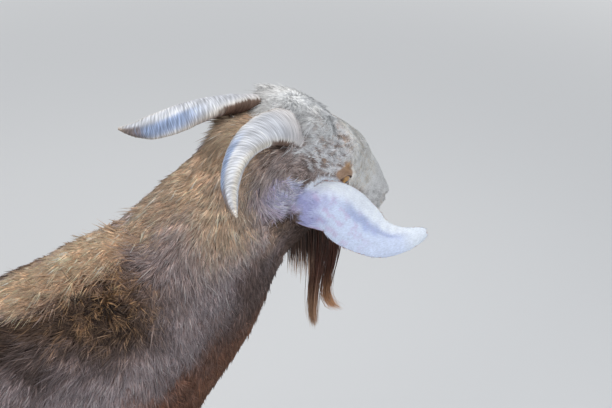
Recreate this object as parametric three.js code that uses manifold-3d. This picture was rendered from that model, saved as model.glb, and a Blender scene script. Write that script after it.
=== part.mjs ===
// A standing goat, life size, as a still museum model. Millimetres, +X towards the animal's front,
// +Y to its left, +Z up. The outer faces are the tips of the coat.
import * as THREE from "three";
import { mergeVertices } from "three/addons/utils/BufferGeometryUtils.js";
import Module from "manifold-3d";

const wasm = await Module();
wasm.setup();

// ---------------------------------------------------------------- driving dimensions
const GAP = 0.3; // between neighbouring solids
const WITHERS = 730; // height of the shoulder's top, under the crest
const BACK = 710; // height of the loin
const BELLY = 398; // height of the lowest rib
const LEG_SIDE = 78; // from the middle plane to each foot's middle line
const FRONT_FOOT_X = 142;
const HIND_FOOT_X = -414;
const FRONT_STAGGER = 14; // the left front foot stands this far behind, the right one ahead
const HIND_STAGGER = 20; // the other way round behind
const CORONET = 44; // height at which the hoof's horn begins, over the toe
const TOE_SIDE = 15.6; // each claw's middle, from the foot's middle line

const HEAD_AT = new THREE.Vector3(412, 36, 895); // back of the skull, between the horns
const HEAD_YAW = THREE.MathUtils.degToRad(19); // turned to the animal's left
const HEAD_PITCH = THREE.MathUtils.degToRad(38); // nose down
const EYE_RADIUS = 15;
const EYE_AT = new THREE.Vector3(108, 52, -31); // left eye's centre, head frame
const EAR_HALF = 37; // half the ear's greatest width
const EAR_THICK = 3; // half its thickness along the leaf

const SIDES = [
  { side: "left", sign: 1 },
  { side: "right", sign: -1 },
];

const v3 = (x, y, z) => new THREE.Vector3(x, y, z);
const lerp = THREE.MathUtils.lerp;

// The head's own frame: x along the face towards the nose, y left, z out of the forehead.
const headFrame = new THREE.Matrix4()
  .makeRotationFromEuler(new THREE.Euler(0, HEAD_PITCH, HEAD_YAW, "ZYX"))
  .setPosition(HEAD_AT);
const toHead = headFrame.clone().invert();
const bodyFrame = new THREE.Matrix4();

// ---------------------------------------------------------------- flesh as a smooth field
// A limb is a chain of stations {at, wide, deep}: centre, half-width across and half-depth in the
// limb's own plane. pear narrows its upper side, and square is the section's exponent.
function limb(stations, { across = v3(0, 1, 0), pear = 0, square = 2, steps = 4 } = {}) {
  const path = new THREE.CatmullRomCurve3(stations.map((s) => s.at), false, "centripetal");
  const spans = (stations.length - 1) * steps;
  const rings = Array.from({ length: spans + 1 }, (_, i) => {
    const t = (i / spans) * (stations.length - 1);
    const k = Math.min(Math.floor(t), stations.length - 2);
    const blend = THREE.MathUtils.smoothstep(t - k, -0.2, 1.2);
    const soft = lerp(t - k, blend, 0.3);
    return {
      at: path.getPoint(i / spans),
      wide: lerp(stations[k].wide, stations[k + 1].wide, soft),
      deep: lerp(stations[k].deep, stations[k + 1].deep, soft),
    };
  });
  const parts = rings.slice(1).map((b, i) => {
    const a = rings[i];
    const along = b.at.clone().sub(a.at);
    const length = along.length();
    along.divideScalar(length);
    const up = along.clone().cross(across).normalize().negate();
    const side = up.clone().cross(along).normalize();
    return { a, b, along, length, up, side };
  });
  return (p) => {
    let best = Infinity;
    for (const { a, b, along, length, up, side } of parts) {
      const dx = p.x - a.at.x;
      const dy = p.y - a.at.y;
      const dz = p.z - a.at.z;
      const s = dx * along.x + dy * along.y + dz * along.z;
      const t = Math.min(Math.max(s / length, 0), 1);
      const past = s - t * length;
      const wide = a.wide + (b.wide - a.wide) * t;
      const deep = a.deep + (b.deep - a.deep) * t;
      const least = Math.min(wide, deep);
      const v = (dx * up.x + dy * up.y + dz * up.z) / deep;
      const narrowed = wide * (1 - pear * Math.max(-1, Math.min(1, v)));
      const u = (dx * side.x + dy * side.y + dz * side.z) / narrowed;
      const ring =
        square === 2 ? u * u + v * v : (Math.abs(u) ** square + Math.abs(v) ** square) ** (2 / square);
      const value = (Math.sqrt(ring + (past / least) ** 2) - 1) * least;
      if (value < best) best = value;
    }
    return best;
  };
}

// An ellipsoid with its axes along the frame that it is given in.
const ball = (at, rx, ry, rz) => (p) =>
  (Math.hypot((p.x - at.x) / rx, (p.y - at.y) / ry, (p.z - at.z) / rz) - 1) * Math.min(rx, ry, rz);

const mirrored = (field) => (p) => field(p.y < 0 ? v3(p.x, -p.y, p.z) : p);

function join(a, b, soft) {
  const h = Math.max(soft - Math.abs(a - b), 0) / soft;
  return Math.min(a, b) - (h * h * soft) / 4;
}
const hollow = (a, b, soft) => -join(-a, b, soft);

// ---------------------------------------------------------------- trunk
const spot = (x, top, bottom, wide) => ({
  at: v3(x, 0, (top + bottom) / 2),
  wide,
  deep: (top - bottom) / 2,
});
const barrel = limb(
  [
    spot(208, 676, 446, 78), // breast
    spot(160, 722, 410, 98),
    spot(112, WITHERS, BELLY - 4, 112), // withers and brisket
    spot(0, BACK + 6, BELLY, 138),
    spot(-120, BACK - 4, BELLY + 4, 154), // widest rib
    spot(-250, BACK - 2, BELLY + 34, 144),
    spot(-352, BACK + 2, BELLY + 98, 118), // hips
    spot(-442, BACK - 20, BELLY + 150, 90), // rump
    spot(-486, BACK - 54, BELLY + 186, 58),
  ],
  { pear: 0.2, square: 2.15 },
);
const shoulder = limb([
  { at: v3(92, 58, 712), wide: 20, deep: 36 },
  { at: v3(140, 84, 650), wide: 30, deep: 52 },
  { at: v3(190, 80, 552), wide: 34, deep: 48 }, // point of the shoulder
]);
const hip = ball(v3(-344, 78, 679), 44, 28, 28);
const pin = ball(v3(-494, 38, 637), 26, 20, 26);
const flank = ball(v3(-252, 176, 632), 62, 34, 44);
const udder = mirrored(ball(v3(-338, 20, 452), 58, 30, 50));
const teat = mirrored(
  limb([
    { at: v3(-320, 26, 430), wide: 15, deep: 15 },
    { at: v3(-308, 32, 386), wide: 8, deep: 8 },
  ]),
);
const trunkField = (p) => {
  const q = p.y < 0 ? v3(p.x, -p.y, p.z) : p;
  let f = join(barrel(q), shoulder(q), 40);
  f = join(f, hip(q), 36);
  f = join(f, pin(q), 36);
  f = hollow(f, flank(q), 40);
  f = join(f, udder(q), 24);
  return join(f, teat(q), 12);
};

// ---------------------------------------------------------------- neck
const neck = limb(
  [
    { at: v3(158, 0, 584), wide: 90, deep: 124 },
    { at: v3(252, 2, 654), wide: 86, deep: 130 },
    { at: v3(289, 8, 693), wide: 77, deep: 122 },
    { at: v3(339, 18, 747), wide: 67, deep: 98 },
    { at: v3(370, 26, 793), wide: 58, deep: 80 },
    { at: v3(401, 31, 827), wide: 49, deep: 52 },
  ],
  { across: v3(-0.12, 0.99, 0), pear: 0.22 },
);

// The crest runs from the loin over the withers and up the neck as a rounded roof.
const ridge = (x, y, top, wide, deep) => ({ at: v3(x, y, top - deep), wide, deep });
const crest = limb(
  [
    ridge(-90, 0, 706, 80, 50),
    ridge(20, 0, 736, 74, 58),
    ridge(87, 0, 759, 69, 63),
    ridge(153, 0, 786, 65, 66),
    ridge(205, 1, 799, 58, 64),
    ridge(249, 4, 804, 48, 58),
    ridge(290, 12, 832, 42, 54),
    ridge(322, 22, 850, 36, 50),
  ],
  { square: 1.35 },
);

// ---------------------------------------------------------------- legs
// Each leg is a chain of stations from inside the trunk down to the pastern.
function foreleg(x) {
  return limb([
    { at: v3(168, 82, 545), wide: 34, deep: 50 },
    { at: v3(122, 86, 468), wide: 32, deep: 50 }, // elbow
    { at: v3(x - 16, LEG_SIDE + 3, 380), wide: 26, deep: 34 },
    { at: v3(x - 10, LEG_SIDE, 306), wide: 22, deep: 25 },
    { at: v3(x - 9, LEG_SIDE, 272), wide: 23, deep: 26 }, // knee
    { at: v3(x - 14, LEG_SIDE, 236), wide: 17.5, deep: 19.5 },
    { at: v3(x - 15, LEG_SIDE, 186), wide: 14.5, deep: 16.5 },
    { at: v3(x - 14, LEG_SIDE, 130), wide: 16, deep: 18 },
    { at: v3(x - 12, LEG_SIDE, 104), wide: 20, deep: 22 }, // fetlock
    { at: v3(x + 2, LEG_SIDE, 70), wide: 17, deep: 17 },
  ]);
}
function hindleg(x) {
  return limb([
    { at: v3(-398, 66, 640), wide: 46, deep: 88 }, // hip
    { at: v3(-366, 86, 558), wide: 46, deep: 98 }, // thigh
    { at: v3(lerp(-366, x, -0.6), 90, 478), wide: 38, deep: 70 }, // stifle
    { at: v3(x + 30, 84, 398), wide: 28, deep: 43 },
    { at: v3(x - 18, LEG_SIDE, 332), wide: 20, deep: 28 },
    { at: v3(x - 25, LEG_SIDE, 298), wide: 21, deep: 29 }, // hock
    { at: v3(x - 18, LEG_SIDE, 256), wide: 17, deep: 20 },
    { at: v3(x - 14, LEG_SIDE, 196), wide: 15, deep: 17 },
    { at: v3(x - 12, LEG_SIDE, 134), wide: 16, deep: 18 },
    { at: v3(x - 10, LEG_SIDE, 106), wide: 20, deep: 22 }, // fetlock
    { at: v3(x + 4, LEG_SIDE, 70), wide: 17, deep: 17 },
  ]);
}
const LEGS = SIDES.flatMap(({ side, sign }) => {
  const front = FRONT_FOOT_X - sign * FRONT_STAGGER;
  const hind = HIND_FOOT_X + sign * HIND_STAGGER;
  return [
    { name: `front_${side}`, sign, x: front, chain: foreleg(front), splitZ: 246, isFront: true },
    { name: `hind_${side}`, sign, x: hind, chain: hindleg(hind), splitZ: 268, isFront: false },
  ];
});
for (const leg of LEGS) {
  const toes = [-1, 1].map((toe) =>
    limb([
      { at: v3(leg.x - 6, LEG_SIDE + toe * 8, 92), wide: 13, deep: 17 },
      { at: v3(leg.x + 10, LEG_SIDE + toe * TOE_SIDE, 50), wide: 13.5, deep: 20 },
      { at: v3(leg.x + 16, LEG_SIDE + toe * TOE_SIDE, 20), wide: 13.5, deep: 20 },
    ]),
  );
  leg.field = (p) => {
    const q = v3(p.x, p.y * leg.sign, p.z);
    if (q.y < -20) return 1e3;
    let f = leg.chain(q);
    for (const toe of toes) f = join(f, toe(q), 7);
    return f;
  };
}

// ---------------------------------------------------------------- tail
const tail = limb([
  { at: v3(-474, 0, 661), wide: 24, deep: 24 },
  { at: v3(-512, 0, 667), wide: 27, deep: 20 },
  { at: v3(-552, 0, 651), wide: 29, deep: 17 },
  { at: v3(-580, 0, 610), wide: 21, deep: 13 },
  { at: v3(-586, 0, 571), wide: 9, deep: 7 },
]);

// ---------------------------------------------------------------- head, in its own frame
const skull = limb(
  [spot(6, -4, -92, 42), spot(46, 24, -100, 54), spot(100, 27, -92, 55), spot(140, 24, -86, 46)],
  { pear: 0.04, square: 2.3 },
);
const face = limb(
  [
    spot(110, 24, -78, 50),
    spot(150, 22, -78, 40),
    spot(188, 15, -74, 33),
    spot(222, 2, -68, 29),
    spot(250, -14, -66, 28),
    spot(264, -24, -58, 21), // nose
  ],
  { pear: 0.1, square: 2.5 },
);
const jaw = limb(
  [
    spot(38, -58, -124, 40), // angle of the jaw
    spot(84, -62, -122, 38),
    spot(140, -62, -106, 30),
    spot(196, -60, -92, 23),
    spot(238, -58, -88, 20), // chin
    spot(254, -60, -80, 15),
  ],
  { square: 2.3 },
);
const cheek = ball(v3(78, 38, -72), 46, 20, 40);
const brow = ball(v3(106, 46, 0), 30, 17, 17);
const orbit = ball(v3(106, 47, -30), 27, 15.5, 26);
const upperLip = ball(v3(244, 15, -56), 22, 16, 17);
const nostrilRim = ball(v3(257, 15, -36), 13, 9, 13);
const nostril = ball(v3(268, 17, -38), 9, 4.5, 6);
const earRoot = ball(v3(30, 54, -66), 26, 18, 28);
const hornBoss = limb([
  { at: v3(52, 26, 8), wide: 23, deep: 23 },
  { at: v3(38, 34, 8), wide: 22, deep: 22 },
]);
const pollTuft = ball(v3(46, 0, 12), 48, 32, 27);
const throat = ball(v3(96, 0, -110), 58, 32, 40);
const headField = (p) => {
  const h = p.clone().applyMatrix4(toHead);
  if (Math.abs(h.x - 130) > 260 || Math.abs(h.y) > 160 || Math.abs(h.z + 50) > 190) return 1e3;
  if (h.y < 0) h.y = -h.y;
  let f = join(skull(h), face(h), 26);
  f = join(f, jaw(h), 22);
  f = join(f, cheek(h), 24);
  f = join(f, brow(h), 16);
  f = join(f, orbit(h), 14);
  f = join(f, upperLip(h), 12);
  f = join(f, nostrilRim(h), 10);
  f = join(f, earRoot(h), 18);
  f = join(f, hornBoss(h), 14);
  f = join(f, pollTuft(h), 18);
  f = join(f, throat(h), 20);
  return hollow(f, nostril(h), 4);
};

const fleshField = (p) => {
  let f = join(trunkField(p), neck(p), 48);
  f = join(f, crest(p), 30);
  f = join(f, headField(p), 34);
  for (const leg of LEGS) f = join(f, leg.field(p), 30);
  return join(f, tail(p), 24);
};

// ---------------------------------------------------------------- from field to mesh
// Surface nets over a box of cells in the given frame. Each vertex is then pulled onto the surface.
function skinOf(field, frame, low, high, cell, grow = 0) {
  const n = [0, 1, 2].map((k) => Math.ceil((high.getComponent(k) - low.getComponent(k)) / cell) + 1);
  const place = (i, j, k) =>
    v3(low.x + i * cell, low.y + j * cell, low.z + k * cell).applyMatrix4(frame);
  const at = (i, j, k) => (k * n[1] + j) * n[0] + i;
  const value = new Float32Array(n[0] * n[1] * n[2]).fill(cell);
  for (let k = 1; k < n[2] - 1; k++)
    for (let j = 1; j < n[1] - 1; j++)
      for (let i = 1; i < n[0] - 1; i++) value[at(i, j, k)] = field(place(i, j, k)) - grow || 1e-4;

  const corners = [0, 1, 2, 3, 4, 5, 6, 7].map((c) => [c & 1, (c >> 1) & 1, (c >> 2) & 1]);
  const stepsApart = (a, b) => a.reduce((sum, x, d) => sum + Math.abs(x - b[d]), 0);
  const edges = corners.flatMap((a, ia) =>
    corners.flatMap((b, ib) => (ib > ia && stepsApart(a, b) === 1 ? [[ia, ib]] : [])),
  );
  const vertexOf = new Map();
  const points = [];
  const outward = (p) => {
    const e = cell * 0.05;
    const f = field(p);
    const g = v3(
      field(v3(p.x + e, p.y, p.z)) - f,
      field(v3(p.x, p.y + e, p.z)) - f,
      field(v3(p.x, p.y, p.z + e)) - f,
    ).divideScalar(e);
    return { g, f: f - grow };
  };
  for (let k = 0; k < n[2] - 1; k++)
    for (let j = 0; j < n[1] - 1; j++)
      for (let i = 0; i < n[0] - 1; i++) {
        const f = corners.map(([a, b, c]) => value[at(i + a, j + b, k + c)]);
        const inside = f.filter((x) => x < 0).length;
        if (inside === 0 || inside === 8) continue;
        const mean = v3(0, 0, 0);
        let count = 0;
        for (const [ia, ib] of edges) {
          if (f[ia] < 0 === f[ib] < 0) continue;
          const t = f[ia] / (f[ia] - f[ib]);
          mean.add(v3(
            i + lerp(corners[ia][0], corners[ib][0], t),
            j + lerp(corners[ia][1], corners[ib][1], t),
            k + lerp(corners[ia][2], corners[ib][2], t),
          ));
          count++;
        }
        mean.divideScalar(count);
        const p = place(mean.x, mean.y, mean.z);
        const rim = [i, j, k].some((x, d) => x < 1 || x > n[d] - 3);
        for (let step = 0; step < 3 && !rim; step++) {
          const { g, f: off } = outward(p);
          const size = g.lengthSq();
          if (size < 0.05) break;
          const move = g.multiplyScalar(-off / size).clampLength(0, cell * 0.3);
          p.add(move);
        }
        vertexOf.set(at(i, j, k), points.length / 3);
        points.push(p.x, p.y, p.z);
      }
  const triangles = [];
  const quad = (a, b, c, d) => {
    const [p, q, r, s] = [a, b, c, d].map((x) => v3().fromArray(points, x * 3));
    if (p.distanceTo(r) < q.distanceTo(s)) triangles.push(a, b, c, a, c, d);
    else triangles.push(a, b, d, b, c, d);
  };
  for (let k = 0; k < n[2] - 1; k++)
    for (let j = 0; j < n[1] - 1; j++)
      for (let i = 0; i < n[0] - 1; i++) {
        const here = value[at(i, j, k)] < 0;
        const ring = [
          [at(i + 1, j, k), [at(i, j, k), at(i, j - 1, k), at(i, j - 1, k - 1), at(i, j, k - 1)]],
          [at(i, j + 1, k), [at(i, j, k), at(i, j, k - 1), at(i - 1, j, k - 1), at(i - 1, j, k)]],
          [at(i, j, k + 1), [at(i, j, k), at(i - 1, j, k), at(i - 1, j - 1, k), at(i, j - 1, k)]],
        ];
        for (const [next, around] of ring) {
          const there = value[next] < 0;
          if (here === there) continue;
          const q = around.map((c) => vertexOf.get(c));
          if (here) quad(q[0], q[1], q[2], q[3]);
          else quad(q[3], q[2], q[1], q[0]);
        }
      }
  return solidFrom(new Float32Array(points), new Uint32Array(triangles));
}

const solidFrom = (vertProperties, triVerts) =>
  new wasm.Manifold(new wasm.Mesh({ numProp: 3, vertProperties, triVerts }));

function solid(geometry) {
  const g = geometry.clone();
  for (const name of Object.keys(g.attributes)) if (name !== "position") g.deleteAttribute(name);
  const merged = mergeVertices(g, 1e-3);
  return solidFrom(merged.attributes.position.array, new Uint32Array(merged.index.array));
}

function geometryOf(made) {
  const mesh = made.getMesh();
  const geometry = new THREE.BufferGeometry();
  geometry.setAttribute("position", new THREE.BufferAttribute(new Float32Array(mesh.vertProperties), 3));
  geometry.setIndex(new THREE.BufferAttribute(mesh.triVerts, 1));
  geometry.computeVertexNormals();
  return geometry;
}

// A box between two corners, placed by a frame and grown on every side.
function block(low, high, grow = 0, frame = bodyFrame) {
  const size = high.clone().sub(low).addScalar(2 * grow);
  const middle = high.clone().add(low).multiplyScalar(0.5);
  const box = new THREE.BoxGeometry(size.x, size.y, size.z).translate(middle.x, middle.y, middle.z);
  return solid(box.applyMatrix4(frame));
}

// Everything behind the plane through `at` with the outward `normal`, as a large box.
function halfSpace(at, normal, grow = 0, frame = bodyFrame) {
  const reach = 2400;
  const box = new THREE.BoxGeometry(reach, reach, reach).translate(0, 0, grow - reach / 2);
  box.applyQuaternion(new THREE.Quaternion().setFromUnitVectors(v3(0, 0, 1), normal.clone().normalize()));
  return solid(box.translate(at.x, at.y, at.z).applyMatrix4(frame));
}

// Closed loft through rings of points. Each end has a fan over it, or is sewn flat across if folded.
function loft(rings, frame, folded = false) {
  const sides = rings[0].length;
  const points = rings.flat().map((p) => p.clone());
  const middle = (ring) => ring.reduce((sum, p) => sum.add(p), v3(0, 0, 0)).divideScalar(sides);
  const [first, last] = [points.length, points.length + 1];
  if (!folded) points.push(middle(rings[0]), middle(rings.at(-1)));
  const index = [];
  const top = (rings.length - 1) * sides;
  for (let j = 0; j < sides; j++) {
    const next = (j + 1) % sides;
    for (let i = 0; i < rings.length - 1; i++) {
      const a = i * sides + j;
      const b = i * sides + next;
      index.push(a, b + sides, b, a, a + sides, b + sides);
    }
    if (!folded) index.push(first, j, next, last, top + next, top + j);
  }
  for (let a = 0; folded && a < sides / 2 - 1; a++) {
    const [b, c, d] = [a + 1, sides - 2 - a, sides - 1 - a];
    index.push(a, b, c, a, c, d, top + a, top + c, top + b, top + a, top + d, top + c);
  }
  const geometry = new THREE.BufferGeometry();
  const flat = points.flatMap((p) => p.toArray());
  geometry.setAttribute("position", new THREE.Float32BufferAttribute(flat, 3));
  geometry.setIndex(index);
  const made = solid(geometry.applyMatrix4(frame));
  if (made.volume() > 0) return made;
  for (let k = 0; k < index.length; k += 3) [index[k], index[k + 1]] = [index[k + 1], index[k]];
  geometry.setIndex(index);
  return solid(geometry);
}

// Straight pieces between given {t, ...} rows.
function readRow(rows, t, key) {
  const k = Math.max(1, rows.findIndex((row) => row.t >= t));
  const [a, b] = [rows[k - 1], rows[k]];
  return lerp(a[key], b[key], THREE.MathUtils.clamp((t - a.t) / (b.t - a.t), 0, 1));
}

// ---------------------------------------------------------------- horns, in the head's frame
const HORN_SIDES = 10;
const HORN_RINGS = 15;
const hornPath = new THREE.CubicBezierCurve3(
  v3(45, 25, -4),
  v3(-57, 46, 7),
  v3(-78, 36, -69),
  v3(-92, 115, -98),
);
// Half-widths of the section, and how far it has turned about the horn's own line.
const HORN_TAPER = [
  { t: 0, deep: 26, wide: 17.3, twist: 0.61 },
  { t: 0.35, deep: 20.6, wide: 12, twist: 1.32 },
  { t: 0.6, deep: 18, wide: 10, twist: 1.85 },
  { t: 0.8, deep: 14, wide: 9, twist: 2.15 },
  { t: 0.93, deep: 7, wide: 6.4, twist: 2.34 },
  { t: 1, deep: 1.5, wide: 1.2, twist: 2.44 },
];
function horn(sign, grow = 0) {
  const rings = [];
  for (let i = 0; i < HORN_RINGS; i++) {
    const t = i / (HORN_RINGS - 1);
    const along = hornPath.getTangent(t);
    const at = hornPath.getPoint(t);
    if (i === 0) at.addScaledVector(along, -grow);
    const outer = v3(0, 1, 0).addScaledVector(along, -along.y).normalize();
    const keel = along.clone().cross(outer).normalize().negate();
    const [deep, wide, twist] = ["deep", "wide", "twist"].map((key) => readRow(HORN_TAPER, t, key));
    rings.push(
      Array.from({ length: HORN_SIDES }, (_, j) => {
        const a = (j / HORN_SIDES) * 2 * Math.PI;
        const edge = 1 + 0.14 * Math.max(0, Math.sin(a)) ** 3; // the keel along its front
        const x = Math.cos(a) * (wide + grow);
        const y = Math.sin(a) * (deep * edge + grow);
        const u = x * Math.cos(twist) - y * Math.sin(twist);
        const v = x * Math.sin(twist) + y * Math.cos(twist);
        const p = at.clone().addScaledVector(outer, u).addScaledVector(keel, v);
        return v3(p.x, p.y * sign, p.z);
      }),
    );
  }
  return loft(rings, headFrame);
}

// ---------------------------------------------------------------- ears, in the head's frame
const EAR_RINGS = 12;
const EAR_ACROSS = 6;
const earPath = new THREE.CatmullRomCurve3([
  v3(27, 51, -80),
  v3(45, 79, -63),
  v3(66, 103, -53),
  v3(86, 127, -60),
  v3(107, 149, -64),
  v3(126, 165, -55),
  v3(143, 181, -33),
]);
const EAR_WIDTH = [
  { t: 0, size: 0.62 },
  { t: 0.18, size: 0.82 },
  { t: 0.4, size: 0.96 },
  { t: 0.5, size: 0.96 },
  { t: 0.66, size: 0.71 },
  { t: 0.8, size: 0.49 },
  { t: 0.92, size: 0.31 },
  { t: 1, size: 0.16 },
];
const EAR_BACK = v3(-0.7, 0.52, 0.48); // the way the ear's outer face looks
function ear(sign, grow = 0) {
  const rings = [];
  for (let i = 0; i < EAR_RINGS; i++) {
    const t = i / (EAR_RINGS - 1);
    const along = earPath.getTangent(t);
    const at = earPath.getPoint(t);
    if (i === 0) at.addScaledVector(along, -2 * grow);
    const back = EAR_BACK.clone().addScaledVector(along, -EAR_BACK.dot(along)).normalize();
    const wide = along.clone().cross(back).normalize();
    const half = EAR_HALF * readRow(EAR_WIDTH, t, "size");
    const cup = half * lerp(0.75, 0.2, Math.min(1, t * 1.5));
    const thick = lerp(EAR_THICK * 2, EAR_THICK * 0.7, t);
    const point = (u, face) => {
      const rim = 0.35 + 0.65 * Math.sqrt(Math.max(0, 1 - u * u));
      const off = u * (half + grow);
      const p = at
        .clone()
        .addScaledVector(wide, off)
        .addScaledVector(back, -cup * (off / half) ** 2 + face * (thick * rim + grow));
      return v3(p.x, p.y * sign, p.z);
    };
    const steps = Array.from({ length: EAR_ACROSS + 1 }, (_, j) => (2 * j) / EAR_ACROSS - 1);
    rings.push([...steps.map((u) => point(u, 1)), ...steps.reverse().map((u) => point(u, -1))]);
  }
  return loft(rings, headFrame, true);
}

// ---------------------------------------------------------------- beard, in the head's frame
const BEARD = [
  { x: 168, z: -80, long: 68, wide: 15 },
  { x: 180, z: -104, long: 72, wide: 16 },
  { x: 195, z: -130, long: 70, wide: 15 },
  { x: 202, z: -156, long: 60, wide: 13 },
  { x: 212, z: -175, long: 50, wide: 11 },
  { x: 250, z: -191, long: 18, wide: 10 },
  { x: 274, z: -207, long: 28, wide: 8 },
  { x: 298, z: -222, long: 38, wide: 7 },
  { x: 292, z: -236, long: 20, wide: 6 },
  { x: 297, z: -259, long: 6, wide: 2.5 },
];
function beard(grow = 0) {
  return loft(
    BEARD.map(({ x, z, long, wide }, i) =>
      Array.from({ length: 12 }, (_, j) => {
        const a = (j / 12) * 2 * Math.PI;
        return v3(x + Math.cos(a) * (long + grow), Math.sin(a) * (wide + grow), z + (i === 0 ? grow : 0));
      }),
    ),
    headFrame,
  );
}

// ---------------------------------------------------------------- hooves
// A claw's outline at one height: back and front ends, half its width, all from the foot's middle.
const CLAW = [
  { z: 0, heel: -19, toe: 47, half: 14.6 },
  { z: 14, heel: -20, toe: 43, half: 15 },
  { z: 26, heel: -18, toe: 38, half: 14.6 },
];
const CORONET_SLOPE = v3(-0.3, 0, 1); // the coronet's plane rises towards the toe
function claw(leg, toe) {
  const sides = 10;
  const y0 = LEG_SIDE + toe * TOE_SIDE;
  const ring = ({ z, heel, toe: tip, half }, slope) =>
    Array.from({ length: sides }, (_, j) => {
      const a = (j / sides) * 2 * Math.PI;
      const middle = (heel + tip) / 2;
      const along = Math.cos(a);
      const narrow = 1 - 0.42 * Math.max(0, along) ** 2;
      const inward = -toe * 3.2 * Math.max(0, along) ** 2;
      const x = leg.x + middle + (along * (tip - heel)) / 2;
      const y = y0 + Math.sin(a) * half * narrow + inward;
      const top = CORONET + (x - leg.x - 30) * 0.3;
      return v3(x, y * leg.sign, slope ? top : z);
    });
  const top = ring({ z: 0, heel: -15, toe: 31, half: 14 }, true);
  return loft([...CLAW.map((row) => ring(row, false)), top], bodyFrame);
}
function dewclaw(leg, toe, grow = 0) {
  const egg = new THREE.SphereGeometry(1, 6, 4);
  egg.scale(8 + grow, 6 + grow, 9 + grow).rotateY(-0.6);
  egg.translate(leg.x - 31, (LEG_SIDE + toe * 10) * leg.sign, 97);
  return solid(egg);
}

// ---------------------------------------------------------------- cutting the flesh into its parts
const inHead = (p) => p.clone().applyMatrix4(headFrame);
function eye(sign, grow = 0) {
  const at = inHead(v3(EYE_AT.x, EYE_AT.y * sign, EYE_AT.z));
  const sphere = new THREE.SphereGeometry(EYE_RADIUS + grow, 11, 7).rotateX(Math.PI / 2);
  return solid(sphere.translate(at.x, at.y, at.z));
}

const NECK_BASE = { at: v3(225, 0, 660), normal: v3(0.856, 0, 0.52) };
const THROAT = { at: v3(12, 0, -80), normal: v3(0.9, 0, 0.43) }; // head frame
const headRegion = (grow) =>
  block(v3(-90, -130, -165), v3(330, 130, 90), grow, headFrame).subtract(
    halfSpace(THROAT.at, THROAT.normal, -grow, headFrame),
  );
const headSkin = skinOf(fleshField, headFrame, v3(-60, -96, -168), v3(300, 96, 66), 8.5).simplify(1.7);
const horns = SIDES.map(({ side, sign }) => ({ side, made: horn(sign), socket: horn(sign, GAP) }));
const ears = SIDES.map(({ side, sign }) => ({ side, made: ear(sign), socket: ear(sign, 2 * GAP) }));
const eyes = SIDES.map(({ side, sign }) => ({ side, made: eye(sign), socket: eye(sign, GAP) }));
const sockets = [...horns, ...ears, ...eyes].map(({ socket }) => socket);
sockets.push(beard(GAP));
const head = sockets.reduce((left, socket) => left.subtract(socket), headSkin.intersect(headRegion(0)));

const neckSkin = skinOf(fleshField, bodyFrame, v3(80, -170, 440), v3(600, 210, 980), 20).simplify(3);
const hornAndEarSockets = [...horns, ...ears].map(({ socket }) => socket);
const neckSolid = hornAndEarSockets.reduce(
  (left, socket) => left.subtract(socket),
  neckSkin.subtract(headRegion(GAP)).subtract(halfSpace(NECK_BASE.at, NECK_BASE.normal)),
);

// Both corners of a box given for a left leg, moved to the leg's own side.
function ownSide(leg, low, high) {
  const [near, far] = [low.y * leg.sign, high.y * leg.sign].sort((a, b) => a - b);
  return [v3(low.x, near, low.z), v3(high.x, far, high.z)];
}
// A leg's region is a box whose top slopes outwards and upwards through the shoulder or the thigh.
function legRegion(leg, grow) {
  const [lowX, highX] = leg.isFront ? [30, 236] : [-520, -190];
  const [inner, hinge, rise] = leg.isFront ? [34, 412, 1.15] : [48, 460, 1.05];
  const top = halfSpace(v3(0, inner * leg.sign, hinge), v3(0, -rise * leg.sign, 1), grow);
  return block(...ownSide(leg, v3(lowX, inner, -40), v3(highX, 240, 720)), grow).intersect(top);
}
const legSkin = (leg, low, high, cell) => skinOf(fleshField, bodyFrame, ...ownSide(leg, low, high), cell);
function legParts(leg) {
  const [lowX, highX] = leg.isFront ? [0, 270] : [-560, -150];
  const upper = legSkin(leg, v3(lowX, 8, leg.splitZ - 30), v3(highX, 200, 640), 15)
    .simplify(3)
    .intersect(legRegion(leg, 0))
    .intersect(block(v3(-900, -400, leg.splitZ + GAP), v3(900, 400, 900)));
  const dewclaws = [-1, 1].map((toe) => dewclaw(leg, toe));
  const claws = [-1, 1].map((toe) => claw(leg, toe));
  const cut = legSkin(leg, v3(leg.x - 70, 30, 16), v3(leg.x + 70, 126, leg.splitZ + 24), 9)
    .simplify(2.4)
    .intersect(block(v3(-900, -400, 0), v3(900, 400, leg.splitZ)))
    .subtract(halfSpace(v3(leg.x + 30, 0, CORONET), CORONET_SLOPE, GAP));
  const lower = [-1, 1].reduce((left, toe) => left.subtract(dewclaw(leg, toe, GAP)), cut);
  return [
    { name: `${leg.name}_upper_leg`, made: upper, slot: "coat" },
    { name: `${leg.name}_lower_leg`, made: lower, slot: "coat" },
    ...[-1, 1].flatMap((toe, k) => {
      const place = toe * leg.sign > 0 ? "left" : "right";
      return [
        { name: `${leg.name}_claw_${place}`, made: claws[k], slot: "hoof_horn" },
        { name: `${leg.name}_dewclaw_${place}`, made: dewclaws[k], slot: "hoof_horn" },
      ];
    }),
  ];
}

const trunkSkin = skinOf(fleshField, bodyFrame, v3(-700, -230, 300), v3(460, 230, 900), 26).simplify(4);
const TAIL_CUT = { at: v3(-524, 0, 657), normal: v3(1, 0, -0.25) };
const tailRegion = (grow) =>
  block(v3(-700, -80, 520), v3(-480, 80, 800), grow).intersect(halfSpace(TAIL_CUT.at, TAIL_CUT.normal, grow));
const trunkWhole = trunkSkin
  .intersect(halfSpace(NECK_BASE.at, NECK_BASE.normal, -GAP))
  .subtract(tailRegion(GAP));
const trunk = LEGS.reduce((left, leg) => left.subtract(legRegion(leg, GAP)), trunkWhole);
const tailSolid = skinOf(fleshField, bodyFrame, v3(-640, -60, 545), v3(-480, 60, 760), 14)
  .simplify(3)
  .intersect(tailRegion(0));

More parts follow.
